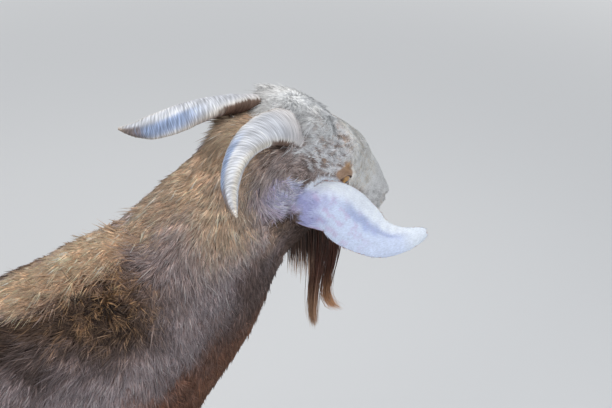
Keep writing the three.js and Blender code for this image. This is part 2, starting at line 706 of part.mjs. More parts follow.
// ---------------------------------------------------------------- the whole animal
const COLOURS = {
  coat: { color: "#a9835f", roughness: 0.9 },
  beard_hair: { color: "#8a4a28", roughness: 0.9 },
  ear_skin: { color: "#e3d3d2", roughness: 0.7 },
  horn: { color: "#a39f98", roughness: 0.55 },
  hoof_horn: { color: "#4b4038", roughness: 0.5 },
  eye: { color: "#b98a35", roughness: 0.05 },
};
const nodes = [
  { name: "trunk", made: trunk, slot: "coat" },
  { name: "neck", made: neckSolid, slot: "coat" },
  { name: "head", made: head, slot: "coat" },
  { name: "tail", made: tailSolid, slot: "coat" },
  { name: "beard", made: beard(), slot: "beard_hair" },
  ...horns.map(({ side, made }) => ({ name: `horn_${side}`, made, slot: "horn" })),
  ...ears.map(({ side, made }) => ({ name: `ear_${side}`, made, slot: "ear_skin" })),
  ...eyes.map(({ side, made }) => ({ name: `eye_${side}`, made, slot: "eye" })),
  ...LEGS.flatMap(legParts),
];

const goat = new THREE.Group();
goat.name = "goat";
const bounds = new THREE.Box3();
for (const { name, made, slot } of nodes) {
  const largest = made.decompose().reduce((a, b) => (b.volume() > a.volume() ? b : a));
  const geometry = geometryOf(largest);
  const mesh = new THREE.Mesh(geometry, new THREE.MeshStandardMaterial({ ...COLOURS[slot], metalness: 0 }));
  mesh.name = name;
  goat.add(mesh);
  bounds.expandByObject(mesh);
}
// The frame's origin is the middle of the bounding box's bottom.
const middle = bounds.getCenter(v3(0, 0, 0));
for (const mesh of goat.children) mesh.geometry.translate(-middle.x, -middle.y, -bounds.min.z);

export default goat;
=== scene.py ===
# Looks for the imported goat: one skin over the flesh, a coat of tufts, horns, hooves, eyes and a beard.
# p: points in the frame, in metres. g: the same from BODY_AT. h: in the head's frame, in millimetres,
# folded onto the left side. n: normals.
import math

import bmesh
import bpy
import numpy as np
from mathutils import Matrix, Vector


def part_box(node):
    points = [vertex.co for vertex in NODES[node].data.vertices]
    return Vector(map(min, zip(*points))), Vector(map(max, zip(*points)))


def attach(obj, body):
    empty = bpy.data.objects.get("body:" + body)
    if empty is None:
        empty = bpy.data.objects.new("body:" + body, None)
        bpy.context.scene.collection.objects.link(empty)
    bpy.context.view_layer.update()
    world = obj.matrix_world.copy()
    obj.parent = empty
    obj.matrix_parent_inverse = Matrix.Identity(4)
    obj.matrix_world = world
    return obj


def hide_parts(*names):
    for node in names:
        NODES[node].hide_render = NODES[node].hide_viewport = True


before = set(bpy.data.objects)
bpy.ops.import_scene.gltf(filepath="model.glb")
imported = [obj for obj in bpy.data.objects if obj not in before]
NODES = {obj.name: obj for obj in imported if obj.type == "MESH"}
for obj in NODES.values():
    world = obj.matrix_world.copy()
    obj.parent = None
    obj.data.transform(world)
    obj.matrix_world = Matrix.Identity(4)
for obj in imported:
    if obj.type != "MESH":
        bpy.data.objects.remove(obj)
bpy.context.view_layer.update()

rng = np.random.default_rng(11)
MM = 0.001
SIDES = (1, "left"), (-1, "right")


# ------------------------------------------------------------------ places taken from the frame
def middle(node):
    low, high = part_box(node)
    return np.array((low + high) / 2)


def turn(axis, degrees):
    return np.array(Matrix.Rotation(math.radians(degrees), 3, axis))


# the head looks left and down; its x runs to the nose, its z out of the forehead
HEAD_TURN = turn("Z", 19) @ turn("Y", 38)
EYE_AT = np.array([0.108, 0.052, -0.031])  # left eye in the head's frame
HEAD_AT = (middle("eye_left") + middle("eye_right")) / 2 - HEAD_TURN @ (EYE_AT * [1, 0, 1])
BODY_AT = HEAD_AT - np.array([0.412, 0.036, 0.895])  # body frame's origin


def to_head(p):
    return (np.asarray(p) - HEAD_AT) @ HEAD_TURN


def from_head(h):
    return np.asarray(h) @ HEAD_TURN.T + HEAD_AT


def ramp(a, b, x):
    t = np.clip((x - a) / (b - a), 0, 1)
    return t * t * (3 - 2 * t)


def falloff(away, wide):
    return np.exp(-((away / wide) ** 2))


def norms(v):
    return np.linalg.norm(v, axis=1)


# ------------------------------------------------------------------ camera and lights
camera = bpy.data.objects.new("camera", bpy.data.cameras.new("camera"))
bpy.context.scene.collection.objects.link(camera)
camera.location = HEAD_AT + np.array([-0.28016, -0.8159, 0.49561])
camera.rotation_euler = Vector((0.3024, 0.7504, -0.5878)).to_track_quat("-Z", "Y").to_euler()
camera.data.lens = 50
camera.data.clip_start = 0.02
bpy.context.scene.camera = camera
bpy.context.scene.view_settings.view_transform = "Standard"


def lamp(name, place, target, size, power, color):
    data = bpy.data.lights.new(name, "AREA")
    data.shape = "DISK"
    data.size = size
    data.energy = power
    data.color = color
    obj = bpy.data.objects.new(name, data)
    bpy.context.scene.collection.objects.link(obj)
    obj.location = place
    obj.rotation_euler = (Vector(target) - Vector(place)).to_track_quat("-Z", "Y").to_euler()


chest = HEAD_AT + np.array([-0.3, 0, -0.25])
lamp("key", chest + [-0.1, 0.9, 2.75], chest, 1.8, 46, (1.0, 0.985, 0.96))
lamp("fill", chest + [0.6, -2.6, 1.7], chest, 2.4, 36, (0.93, 0.96, 1.0))
lamp("rim", chest + [-2.6, -0.6, 1.6], chest, 1.6, 16, (1.0, 0.98, 0.95))


# ------------------------------------------------------------------ materials and the world
def material(name, roughness, specular):
    m = bpy.data.materials.new(name)
    m.use_nodes = True
    shader = m.node_tree.nodes["Principled BSDF"]
    shader.inputs["Roughness"].default_value = roughness
    shader.inputs["Specular IOR Level"].default_value = specular
    return m, shader


def link(owner, a, b):
    owner.node_tree.links.new(a, b)


def node(owner, kind, feeds=(), **values):
    """A shader node: feeds are (input, output socket) pairs, values are inputs or settings by name."""
    n = owner.node_tree.nodes.new(kind)
    for key, value in values.items():
        if key in n.inputs:
            n.inputs[key].default_value = value
        else:
            setattr(n, key, value)
    for key, socket in feeds:
        link(owner, socket, n.inputs[key])
    return n


def background_rays(owner):
    """1 for the rays that see the background: camera, glossy and transmission rays."""
    path = node(owner, "ShaderNodeLightPath")
    seen = path.outputs["Is Camera Ray"]
    for ray in ("Is Glossy Ray", "Is Transmission Ray"):
        feeds = [(0, seen), (1, path.outputs[ray])]
        seen = node(owner, "ShaderNodeMath", feeds, operation="MAXIMUM").outputs[0]
    return seen


def detailed(name, scale, contrast, strength, distance, roughness, specular, detail=4.0):
    """A material whose colour is the mesh's markings times a fine noise, with the noise as bump too."""
    m, shader = material(name, roughness, specular)
    marks = node(m, "ShaderNodeVertexColor", layer_name="markings")
    noise = node(m, "ShaderNodeTexNoise", Scale=scale, Detail=detail).outputs["Fac"]
    spread = {"To Min": 1 - contrast, "To Max": 1 + contrast}
    tint = node(m, "ShaderNodeMapRange", [("Value", noise)], **spread)
    feeds = [(0, marks.outputs["Color"]), ("Scale", tint.outputs["Result"])]
    color = node(m, "ShaderNodeVectorMath", feeds, operation="SCALE")
    bump = node(m, "ShaderNodeBump", [("Height", noise)], Strength=strength, Distance=distance)
    link(m, color.outputs[0], shader.inputs["Base Color"])
    link(m, bump.outputs["Normal"], shader.inputs["Normal"])
    return m, shader


PALE = {"Color": (0.86, 0.87, 0.88, 1), "Strength": 0.95}  # the background
world = bpy.data.worlds.new("world")
bpy.context.scene.world = world
world.use_nodes = True
world.node_tree.nodes.clear()
ambient = node(world, "ShaderNodeBackground", Color=(0.88, 0.93, 1.0, 1), Strength=0.36)
shown = node(world, "ShaderNodeBackground", **PALE)
feeds = [(0, background_rays(world)), (1, ambient.outputs[0]), (2, shown.outputs[0])]
choose = node(world, "ShaderNodeMixShader", feeds)
node(world, "ShaderNodeOutputWorld", [(0, choose.outputs[0])])


def srgb(code):
    """Linear colour of an sRGB hex code."""
    c = np.array([int(code[i:i + 2], 16) for i in (0, 2, 4)], float) / 255
    return np.where(c <= 0.04045, c / 12.92, ((c + 0.055) / 1.055) ** 2.4)


# ------------------------------------------------------------------ mesh helpers
def new_object(name, verts, faces):
    mesh = bpy.data.meshes.new(name)
    verts = np.asarray(verts, np.float32)
    mesh.vertices.add(len(verts))
    mesh.vertices.foreach_set("co", verts.ravel())
    mesh.loops.add(faces.size)
    mesh.loops.foreach_set("vertex_index", faces.ravel().astype(np.int32))
    mesh.polygons.add(len(faces))
    mesh.polygons.foreach_set("loop_start", np.arange(len(faces), dtype=np.int32) * faces.shape[1])
    mesh.update(calc_edges=True)
    mesh.polygons.foreach_set("use_smooth", np.ones(len(faces), bool))
    obj = bpy.data.objects.new(name, mesh)
    bpy.context.scene.collection.objects.link(obj)
    return obj


def rows_of(items, key, width, kind=np.int32):
    values = np.empty(len(items) * width, kind)
    items.foreach_get(key, values)
    return values.reshape(-1, width)


def points_of(mesh):
    return rows_of(mesh.vertices, "co", 3, float)


def triangles_of(mesh):
    mesh.calc_loop_triangles()
    return rows_of(mesh.loop_triangles, "vertices", 3)


def edges_of(mesh):
    return rows_of(mesh.edges, "vertices", 2)


def vertex_normals(p, t):
    n = np.cross(p[t[:, 1]] - p[t[:, 0]], p[t[:, 2]] - p[t[:, 0]])
    out = np.zeros_like(p)
    for k in range(3):
        for c in range(3):
            out[:, c] += np.bincount(t[:, k], n[:, c], len(p))
    return out / (norms(out)[:, None] + 1e-12)


def relax(p, e, times, amount=0.5, weight=None):
    """Moves each vertex towards its neighbours' mean."""
    i, j = e.T
    count = np.bincount(e.ravel(), minlength=len(p))[:, None] + 1e-9
    w = amount if weight is None else amount * weight[:, None]
    for _ in range(times):
        total = np.empty_like(p)
        for c in range(3):
            total[:, c] = np.bincount(i, p[j, c], len(p)) + np.bincount(j, p[i, c], len(p))
        p = p + (total / count - p) * w
    return p


def remeshed(pieces, voxel, name):
    """One closed surface round several closed meshes, each given as (points, triangles)."""
    starts = np.cumsum([0] + [len(p) for p, _ in pieces])
    faces = np.concatenate([t + k for (_, t), k in zip(pieces, starts)])
    obj = new_object(name, np.concatenate([p for p, _ in pieces]), faces)
    modifier = obj.modifiers.new("voxels", "REMESH")
    modifier.mode = "VOXEL"
    modifier.voxel_size = voxel
    graph = bpy.context.evaluated_depsgraph_get()
    mesh = bpy.data.meshes.new_from_object(obj.evaluated_get(graph))
    bpy.data.objects.remove(obj)
    return mesh


def cad_mesh(name):
    mesh = NODES[name].data
    return points_of(mesh), triangles_of(mesh)


# ------------------------------------------------------------------ floor
floor = new_object("floor", [(-9, -9, 0), (9, -9, 0), (9, 9, 0), (-9, 9, 0)], np.array([[0, 1, 2, 3]]))
m_floor, bsdf = material("floor", 0.9, 0.2)
bsdf.inputs["Base Color"].default_value = (0.80, 0.805, 0.81, 1)
# far from the animal, the floor fades into the background for the rays that see it
place = node(m_floor, "ShaderNodeTexCoord").outputs["Object"]
away = node(m_floor, "ShaderNodeVectorMath", [(0, place)], operation="LENGTH").outputs["Value"]
reach = {"interpolation_type": "SMOOTHSTEP", "From Min": 1.6, "From Max": 4.5}
fade = node(m_floor, "ShaderNodeMapRange", [("Value", away)], **reach)
feeds = [(0, fade.outputs["Result"]), (1, background_rays(m_floor))]
share = node(m_floor, "ShaderNodeMath", feeds, operation="MULTIPLY")
glow = node(m_floor, "ShaderNodeEmission", **PALE)
feeds = [(0, share.outputs[0]), (1, bsdf.outputs[0]), (2, glow.outputs[0])]
blend = node(m_floor, "ShaderNodeMixShader", feeds)
link(m_floor, blend.outputs[0], m_floor.node_tree.nodes["Material Output"].inputs["Surface"])
floor.data.materials.append(m_floor)


# ------------------------------------------------------------------ ears and horns as functions
def bezier(points, t):
    t = np.asarray(t)[:, None]
    a, b, c, d = np.asarray(points, float)
    return (1 - t) ** 3 * a + 3 * (1 - t) ** 2 * t * b + 3 * (1 - t) * t * t * c + t ** 3 * d


def catmull(points, t):
    """Centripetal curve through the points, as three.js draws it."""
    pts = np.asarray(points, float)
    pts = np.vstack([2 * pts[0] - pts[1], pts, 2 * pts[-1] - pts[-2]])
    knots = np.concatenate([[0], np.cumsum(norms(np.diff(pts, axis=0)) ** 0.5)])
    n = len(points) - 1
    s = np.clip(np.asarray(t) * n, 0, n - 1e-9)
    k = s.astype(int)
    f = s - k
    t0, t1, t2, t3 = (knots[k + i] for i in range(4))
    x = (t1 + (t2 - t1) * f)
    p0, p1, p2, p3 = (pts[k + i] for i in range(4))

    def mix(a, b, ta, tb):
        return a * ((tb - x) / (tb - ta))[:, None] + b * ((x - ta) / (tb - ta))[:, None]

    a1, a2, a3 = mix(p0, p1, t0, t1), mix(p1, p2, t1, t2), mix(p2, p3, t2, t3)
    b1, b2 = mix(a1, a2, t0, t2), mix(a2, a3, t1, t3)
    return mix(b1, b2, t1, t2)


def circle(sides):
    return np.arange(sides) / sides * 2 * math.pi


def grid(x, y, z):
    """Points from coordinates that broadcast to rings by sides."""
    return np.stack(np.broadcast_arrays(x, y, z), -1).reshape(-1, 3)


def unit(v):
    v = np.asarray(v, float)
    return v / np.linalg.norm(v, axis=-1, keepdims=True)


def tube_faces(rings, sides):
    i, j = np.meshgrid(np.arange(rings - 1), np.arange(sides), indexing="ij")
    a = i * sides + j
    b = i * sides + (j + 1) % sides
    return np.stack([a, b, b + sides, a + sides], -1).reshape(-1, 4)


def closed_tube(p, rings, sides, flip=False):
    """Triangles over rings of points with a fan over each end; flip is for mirrored shapes."""
    p = np.vstack([p, p[:sides].mean(0), p[-sides:].mean(0)])
    quads = tube_faces(rings, sides)
    j, last = np.arange(sides), (rings - 1) * sides
    tris = np.vstack([
        quads[:, [0, 1, 2]], quads[:, [0, 2, 3]],
        np.stack([np.full(sides, len(p) - 2), (j + 1) % sides, j], -1),
        np.stack([np.full(sides, len(p) - 1), last + j, last + (j + 1) % sides], -1),
    ])
    return p, tris[:, ::-1] if flip else tris


HORN_PATH = np.array([(45, 25, -4), (-57, 46, 7), (-78, 36, -69), (-92, 115, -98)]) * MM
HORN_AT = [0, 0.35, 0.6, 0.8, 0.93, 1]
HORN_DEEP = [26, 20.6, 18, 14, 7, 1.5]
HORN_WIDE = [17.3, 12, 10, 9, 6.4, 1.2]
HORN_TWIST = [0.61, 1.32, 1.85, 2.15, 2.34, 2.44]


def horn_rings(sign, ts, sides, scale=1.0, swell=None):
    """Points of a horn's rings in row coordinates; swell adds a length per ring and side."""
    line = bezier(HORN_PATH, ts)
    along = unit(bezier(HORN_PATH, ts + 1e-3) - bezier(HORN_PATH, ts - 1e-3))
    outer = unit(np.array([0, 1, 0]) - along * along[:, 1:2])
    keel = -unit(np.cross(along, outer))
    deep, wide, twist = (np.interp(ts, HORN_AT, row)[:, None] for row in (HORN_DEEP, HORN_WIDE, HORN_TWIST))
    a = circle(sides)[None]
    extra = 0 if swell is None else swell
    edge = 1 + 0.14 * np.maximum(0, np.sin(a)) ** 3
    x = np.cos(a) * (wide * MM * scale + extra)
    y = np.sin(a) * (deep * MM * scale * edge + extra)
    u = x * np.cos(twist) - y * np.sin(twist)
    v = x * np.sin(twist) + y * np.cos(twist)
    p = line[:, None] + outer[:, None] * u[..., None] + keel[:, None] * v[..., None]
    p[..., 1] *= sign
    return from_head(p.reshape(-1, 3))


EAR_PATH = MM * np.array([
    (27, 51, -80), (45, 79, -63), (66, 103, -53), (86, 127, -60),
    (107, 149, -64), (126, 165, -55), (143, 181, -33)])
EAR_WIDTH = ([0, 0.18, 0.4, 0.5, 0.66, 0.8, 0.92, 1], [0.62, 0.82, 0.96, 0.96, 0.71, 0.49, 0.31, 0.16])
EAR_HALF = 0.037
EAR_BACK = np.array([-0.7, 0.52, 0.48])


def ear_frame(ts):
    line = catmull(EAR_PATH, ts)
    along = unit(catmull(EAR_PATH, np.minimum(ts + 1e-3, 1)) - catmull(EAR_PATH, np.maximum(ts - 1e-3, 0)))
    back = unit(EAR_BACK - along * (along @ EAR_BACK)[:, None])
    wide = np.cross(along, back)
    return line, along, back, wide


def ear_half(ts):
    fine = np.linspace(0, 1, 120)
    soft = np.convolve(np.pad(np.interp(fine, *EAR_WIDTH), 8, mode="edge"), np.ones(17) / 17, "valid")
    round_tip = np.sqrt(np.clip(1 - (np.clip(np.asarray(ts) - 0.94, 0, 1) / 0.062) ** 2, 0.05, 1))
    return EAR_HALF * np.interp(ts, fine, soft) * round_tip


def ear_cup(ts):
    return 0.75 - 0.55 * np.minimum(1, ts * 1.5)


def ear_thick(ts):
    """Half the ear's thickness."""
    return 0.0052 - 0.0034 * np.minimum(1, ts * 1.8)


def ear_fold(ts, across):
    """A lengthwise valley in the ear: 1 along its floor."""
    line = 0.10 + 0.25 * (ts - 0.5)
    return falloff(across - line, 0.20) * ramp(0.28, 0.48, ts) * ramp(0.92, 0.72, ts)


EAR_FOLD_DEEP = 2.0 * MM


def ear_solid(sign, rings=60, sides=56):
    """A rounded leaf of nearly even thickness, cupped at its root."""
    ts = np.linspace(0, 1, rings)
    line, _, back, wide = ear_frame(ts)
    half = ear_half(ts)
    cup = half * ear_cup(ts)
    thick = ear_thick(ts) + 0.0004
    a = circle(sides)
    u = np.sign(np.cos(a)) * np.abs(np.cos(a)) ** 0.75
    face = np.sign(np.sin(a)) * np.abs(np.sin(a)) ** 0.6
    off = u[None] * half[:, None]
    lift = -cup[:, None] * (off / half[:, None]) ** 2 + face[None] * thick[:, None]
    lift = lift - EAR_FOLD_DEEP * ear_fold(ts[:, None], u[None])
    p = line[:, None] + wide[:, None] * off[..., None] + back[:, None] * lift[..., None]
    p[..., 1] *= sign
    return closed_tube(from_head(p.reshape(-1, 3)), rings, sides, sign < 0)


def horn_plug(sign, until=0.16):
    """The horn's root, slightly slim, so that the skin closes inside the horn."""
    return closed_tube(horn_rings(sign, np.linspace(0, until, 14), 16, 0.9), 14, 16, sign < 0)


def jaw_z(x):
    """Height of the jaw's lower edge in the head's frame, in millimetres."""
    return np.interp(x, [92, 104, 140, 196, 238], [-116, -112, -100, -89, -85])


def chin_plug():
    """Fills the slot that the beard's solid leaves under the jaw."""
    a = circle(24)
    x, y = 172 + 74 * np.cos(a), 18 * np.sin(a)
    rings = np.concatenate([np.stack([x, y, z + 0 * a], 1) for z in (-70, jaw_z(x) / 2 - 36, jaw_z(x) + 3.5)])
    return closed_tube(from_head(rings * MM), 3, 24, True)


# ------------------------------------------------------------------ the skin's base surface
LEG_NODES = [n for n in NODES if n.endswith("_leg")]
FLESH = ["head", "neck", "trunk", "tail", *LEG_NODES]
SPLIT_AT = BODY_AT + np.array([0.362, 0.026, 0.796])
SPLIT_NORMAL = unit([0.85, 0.15, 0.5])


def clipped(mesh, keep_front, shift):
    """The mesh on one side of the neck's splitting plane, with an open rim there."""
    b = bmesh.new()
    b.from_mesh(mesh)
    bmesh.ops.bisect_plane(
        b, geom=b.verts[:] + b.edges[:] + b.faces[:], dist=1e-6,
        plane_co=SPLIT_AT + SPLIT_NORMAL * shift, plane_no=SPLIT_NORMAL,
        clear_outer=not keep_front, clear_inner=keep_front,
    )
    b.to_mesh(mesh)
    b.free()
    return mesh


body_pieces = [cad_mesh(n) for n in FLESH]
head_pieces = [cad_mesh(n) for n in ("head", "neck", "eye_left", "eye_right")] + [chin_plug()]
for sign in (1, -1):
    head_pieces += [ear_solid(sign), horn_plug(sign)]
body_mesh = clipped(remeshed(body_pieces, 0.0078, "body_raw"), False, -0.004)
head_mesh = clipped(remeshed(head_pieces, 0.00235, "head_raw"), True, 0.002)

b = bmesh.new()
b.from_mesh(body_mesh)
b.from_mesh(head_mesh)
bmesh.ops.bridge_loops(b, edges=[e for e in b.edges if e.is_boundary])
mesh = bpy.data.meshes.new("skin")
b.to_mesh(mesh)
b.free()


# ------------------------------------------------------------------ regions of the head and ears
def folded(p):
    """Points in the head's frame, in millimetres, folded onto the left side."""
    out = to_head(p) / MM
    out[:, 1] = np.abs(out[:, 1])
    return out


def bump_at(h, at, radius, power=2.0):
    """1 at a place, 0 outside the radii given."""
    d = norms((h - at) / radius)
    return np.clip(1 - d**power, 0, 1) ** 2


def along_line(h, points, axis=None):
    """Distance from a broken line, seen along an axis if one is given, and the share of its length run."""
    best = np.full(len(h), 1e9)
    where = np.zeros(len(h))
    points = np.asarray(points, float)
    if axis is not None:
        axis = unit(axis)
        h = h - (h @ axis)[:, None] * axis
        points = points - (points @ axis)[:, None] * axis
    steps = norms(np.diff(points, axis=0))
    before = np.concatenate([[0], np.cumsum(steps)])
    for k in range(len(points) - 1):
        d = points[k + 1] - points[k]
        t = np.clip((h - points[k]) @ d / (d @ d), 0, 1)
        away = norms(h - points[k] - t[:, None] * d)
        near = away < best
        best = np.where(near, away, best)
        where = np.where(near, before[k] + t * steps[k], where)
    return best, where / before[-1]


EAR_TS = np.linspace(0, 1, 240)
EAR_LINE, EAR_ALONG, EAR_BACKS, EAR_ACROSS = (v / k for v, k in zip(ear_frame(EAR_TS), (MM, 1, 1, 1)))
EAR_HALVES, EAR_THICKS = ear_half(EAR_TS) / MM, ear_thick(EAR_TS) / MM
EAR_CUPS = EAR_HALVES * ear_cup(EAR_TS)


def ear_place(h):
    """Index along the ear, offset from there, share of the half-width, and millimetres off the leaf."""
    k = np.empty(len(h), int)
    for i in range(0, len(h), 6000):
        k[i:i + 6000] = np.argmin(((h[i:i + 6000, None] - EAR_LINE[None]) ** 2).sum(2), 1)
    rel = h - EAR_LINE[k]
    u = (rel * EAR_ACROSS[k]).sum(1) / EAR_HALVES[k]
    bent = EAR_CUPS[k] * u * u + EAR_FOLD_DEEP / MM * ear_fold(EAR_TS[k], u)
    return k, rel, u, (rel * EAR_BACKS[k]).sum(1) + bent


def ear_share(h):
    """1 on an ear, 0 on the head, from folded head millimetres; and the places along and across the ear."""
    share, t, across = np.zeros((3, len(h)))
    near = np.flatnonzero((h[:, 1] > 48) & (np.abs(h[:, 0] - 85) < 110) & (np.abs(h[:, 2] + 65) < 65))
    k, _, u, off = ear_place(h[near])
    inside = (1 - ramp(1.06, 1.4, np.abs(u))) * (1 - ramp(2.5, 6, np.abs(off) - EAR_THICKS[k]))
    share[near] = inside * ramp(0.05, 0.13, EAR_TS[k])
    t[near] = EAR_TS[k]
    across[near] = u
    return share, t, across


def on_ear(p, weight):
    """Points near an ear, moved onto its exact rounded leaf."""
    h = to_head(p) / MM
    side = np.where(h[:, 1] < 0, -1.0, 1.0)
    h[:, 1] *= side
    near = weight > 0.001
    k, rel, u, off = ear_place(h[near])
    f = off / EAR_THICKS[k]
    r = (np.abs(u) ** 2.6 + np.abs(f) ** 2.6) ** (1 / 2.6) + 1e-6
    u, f = u / r, f / r
    beyond = (rel * EAR_ALONG[k]).sum(1) * (k == len(EAR_TS) - 1)
    lift = f * EAR_THICKS[k] - EAR_CUPS[k] * u * u - EAR_FOLD_DEEP / MM * ear_fold(EAR_TS[k], u)
    goal = EAR_LINE[k] + EAR_ACROSS[k] * (u * EAR_HALVES[k])[:, None] + EAR_BACKS[k] * lift[:, None]
    goal += EAR_ALONG[k] * np.clip(beyond, 0, 1.5)[:, None]
    goal[:, 1] *= side[near]
    out = p.copy()
    w = weight[near][:, None]
    out[near] = p[near] * (1 - w) + from_head(goal * MM) * w
    return out


def subdivided(mesh, chosen):
    """Cuts the faces that `chosen` picks, by their middles in row coordinates, into quarters."""
    b = bmesh.new()
    b.from_mesh(mesh)
    b.faces.ensure_lookup_table()
    pick = chosen(np.array([f.calc_center_median() for f in b.faces]))
    edges = {e for f, k in zip(b.faces, pick) if k for e in f.edges}
    bmesh.ops.subdivide_edges(b, edges=list(edges), cuts=1, use_grid_fill=True)
    b.to_mesh(mesh)
    b.free()


def share_on_head(p):
    """1 on the head, falling to 0 down the neck."""
    return ramp(-0.02, 0.05, (p - SPLIT_AT) @ SPLIT_NORMAL)


def taubin(p, e, rounds, weight):
    for _ in range(rounds):
        p = relax(p, e, 1, 0.62, weight)
        p = relax(p, e, 1, -0.58, weight)
    return p


p = points_of(mesh)
e = edges_of(mesh)
h = folded(p)
head_part = share_on_head(p)
ear_part = ear_share(h)[0] * head_part
p = relax(p, e, 3, 0.5, 1 - 0.5 * ear_part)
p = taubin(p, e, 22, 1 - 0.7 * ear_part)
for _ in range(5):
    p = on_ear(relax(p, e, 3, 0.5, ear_part), ear_part)
p = relax(p, e, 6, 0.5, 4 * ear_part * (1 - ear_part))
mesh.vertices.foreach_set("co", p.astype(np.float32).ravel())

EYE = EYE_AT / MM
POLL = np.array([43, 0, 14])  # middle of the white tuft between the horns
EYE_R = 15.0
EYE_OUT = unit([0.30, 0.94, 0.06])  # the way the lids open
EYE_FORE = unit(np.array([0.97, 0, 0.2]) - EYE_OUT * (EYE_OUT @ [0.97, 0, 0.2]))
EYE_UP = np.cross(EYE_FORE, EYE_OUT)
EYE_UP = EYE_UP * np.sign(EYE_UP[2])
MOUTH = [(290, 0, -59), (266, 0, -62), (250, 0, -67), (230, 0, -66), (204, 0, -59)]
NOSTRIL = [(268, 8, -49), (267, 13.5, -43), (262, 19, -38), (254, 23, -35)]
BROW_EDGE = [(72, 22, 32), (86, 44, 17), (98, 56, 2), (105, 60, -16)]  # between the brow and the forehead
NOSTRIL_FACES = (0.72, 0.62, 0.3)


def eye_view(h):
    """Where a point lies round the eye: across, up, facing and distance, in eye radii."""
    q = (h - EYE) / EYE_R
    far = norms(q) + 1e-9
    d = q / far[:, None]
    return d @ EYE_FORE, d @ EYE_UP, d @ EYE_OUT, far


def lid_gap(s, t):
    """Below 1 inside the almond between the lids."""
    s = s - 0.02
    room = np.clip(1 - (np.abs(s) / 0.84) ** 2.1, 0.001, 1)
    height = np.where(t > 0, 0.40 - 0.14 * np.clip(s, -0.5, 0.9), 0.34)
    return np.abs(t + 0.05 * s) / (height * room ** 0.8)


def near_face(middles):
    h = folded(middles)
    eye = norms(h - EYE) < 27
    nose = (h[:, 0] > 238) & (h[:, 2] > -76)
    mouth = (along_line(h, MOUTH, (0, 1, 0))[0] < 7) & (h[:, 0] > 196)
    brow = bump_at(h, (80, 44, 2), (30, 30, 28)) > 0.02
    return eye | nose | mouth | brow


def near_lids(middles):
    h = folded(middles)
    s, t, face, far = eye_view(h)
    gap = lid_gap(s, t)
    return (far < 1.6) & (face > 0.2) & (gap > 0.5) & (gap < 2.2) & (np.abs(s) < 0.95)


subdivided(mesh, near_face)
subdivided(mesh, near_lids)
p = points_of(mesh)
e = edges_of(mesh)
h = folded(p)
p = relax(p, e, 4, 0.5, 1.0 * near_face(p))


# ------------------------------------------------------------------ how deep the coat lies over the skin
def coat_depth(p):
    """The coat's depth over each point of the outline, in metres."""
    h = folded(p)
    g = p - BODY_AT
    head_part = share_on_head(p)
    ear = ear_share(h)[0]
    low = ramp(0.30, 0.46, g[:, 2])
    depth = 0.0020 + 0.0065 * low
    face = 0.0016 + 0.0016 * bump_at(h, (70, 45, -80), (50, 40, 50))
    face = face + 0.013 * bump_at(h, POLL, (54, 44, 38))
    face = face + 0.003 * ramp(40, -10, h[:, 0])
    depth = depth + (face - depth) * head_part
    udder = bump_at(g, (-0.338, 0, 0.42), (0.09, 0.07, 0.07))
    depth = depth * (1 - 0.85 * udder)
    return depth * (1 - ear) + 0.0004 * ear


t = triangles_of(mesh)
n = vertex_normals(p, t)
depth = coat_depth(p)
for _ in range(8):
    n = unit(relax(n, e, 1, 0.6, 1 - ear_share(h)[0]))
p = p - n * depth[:, None]


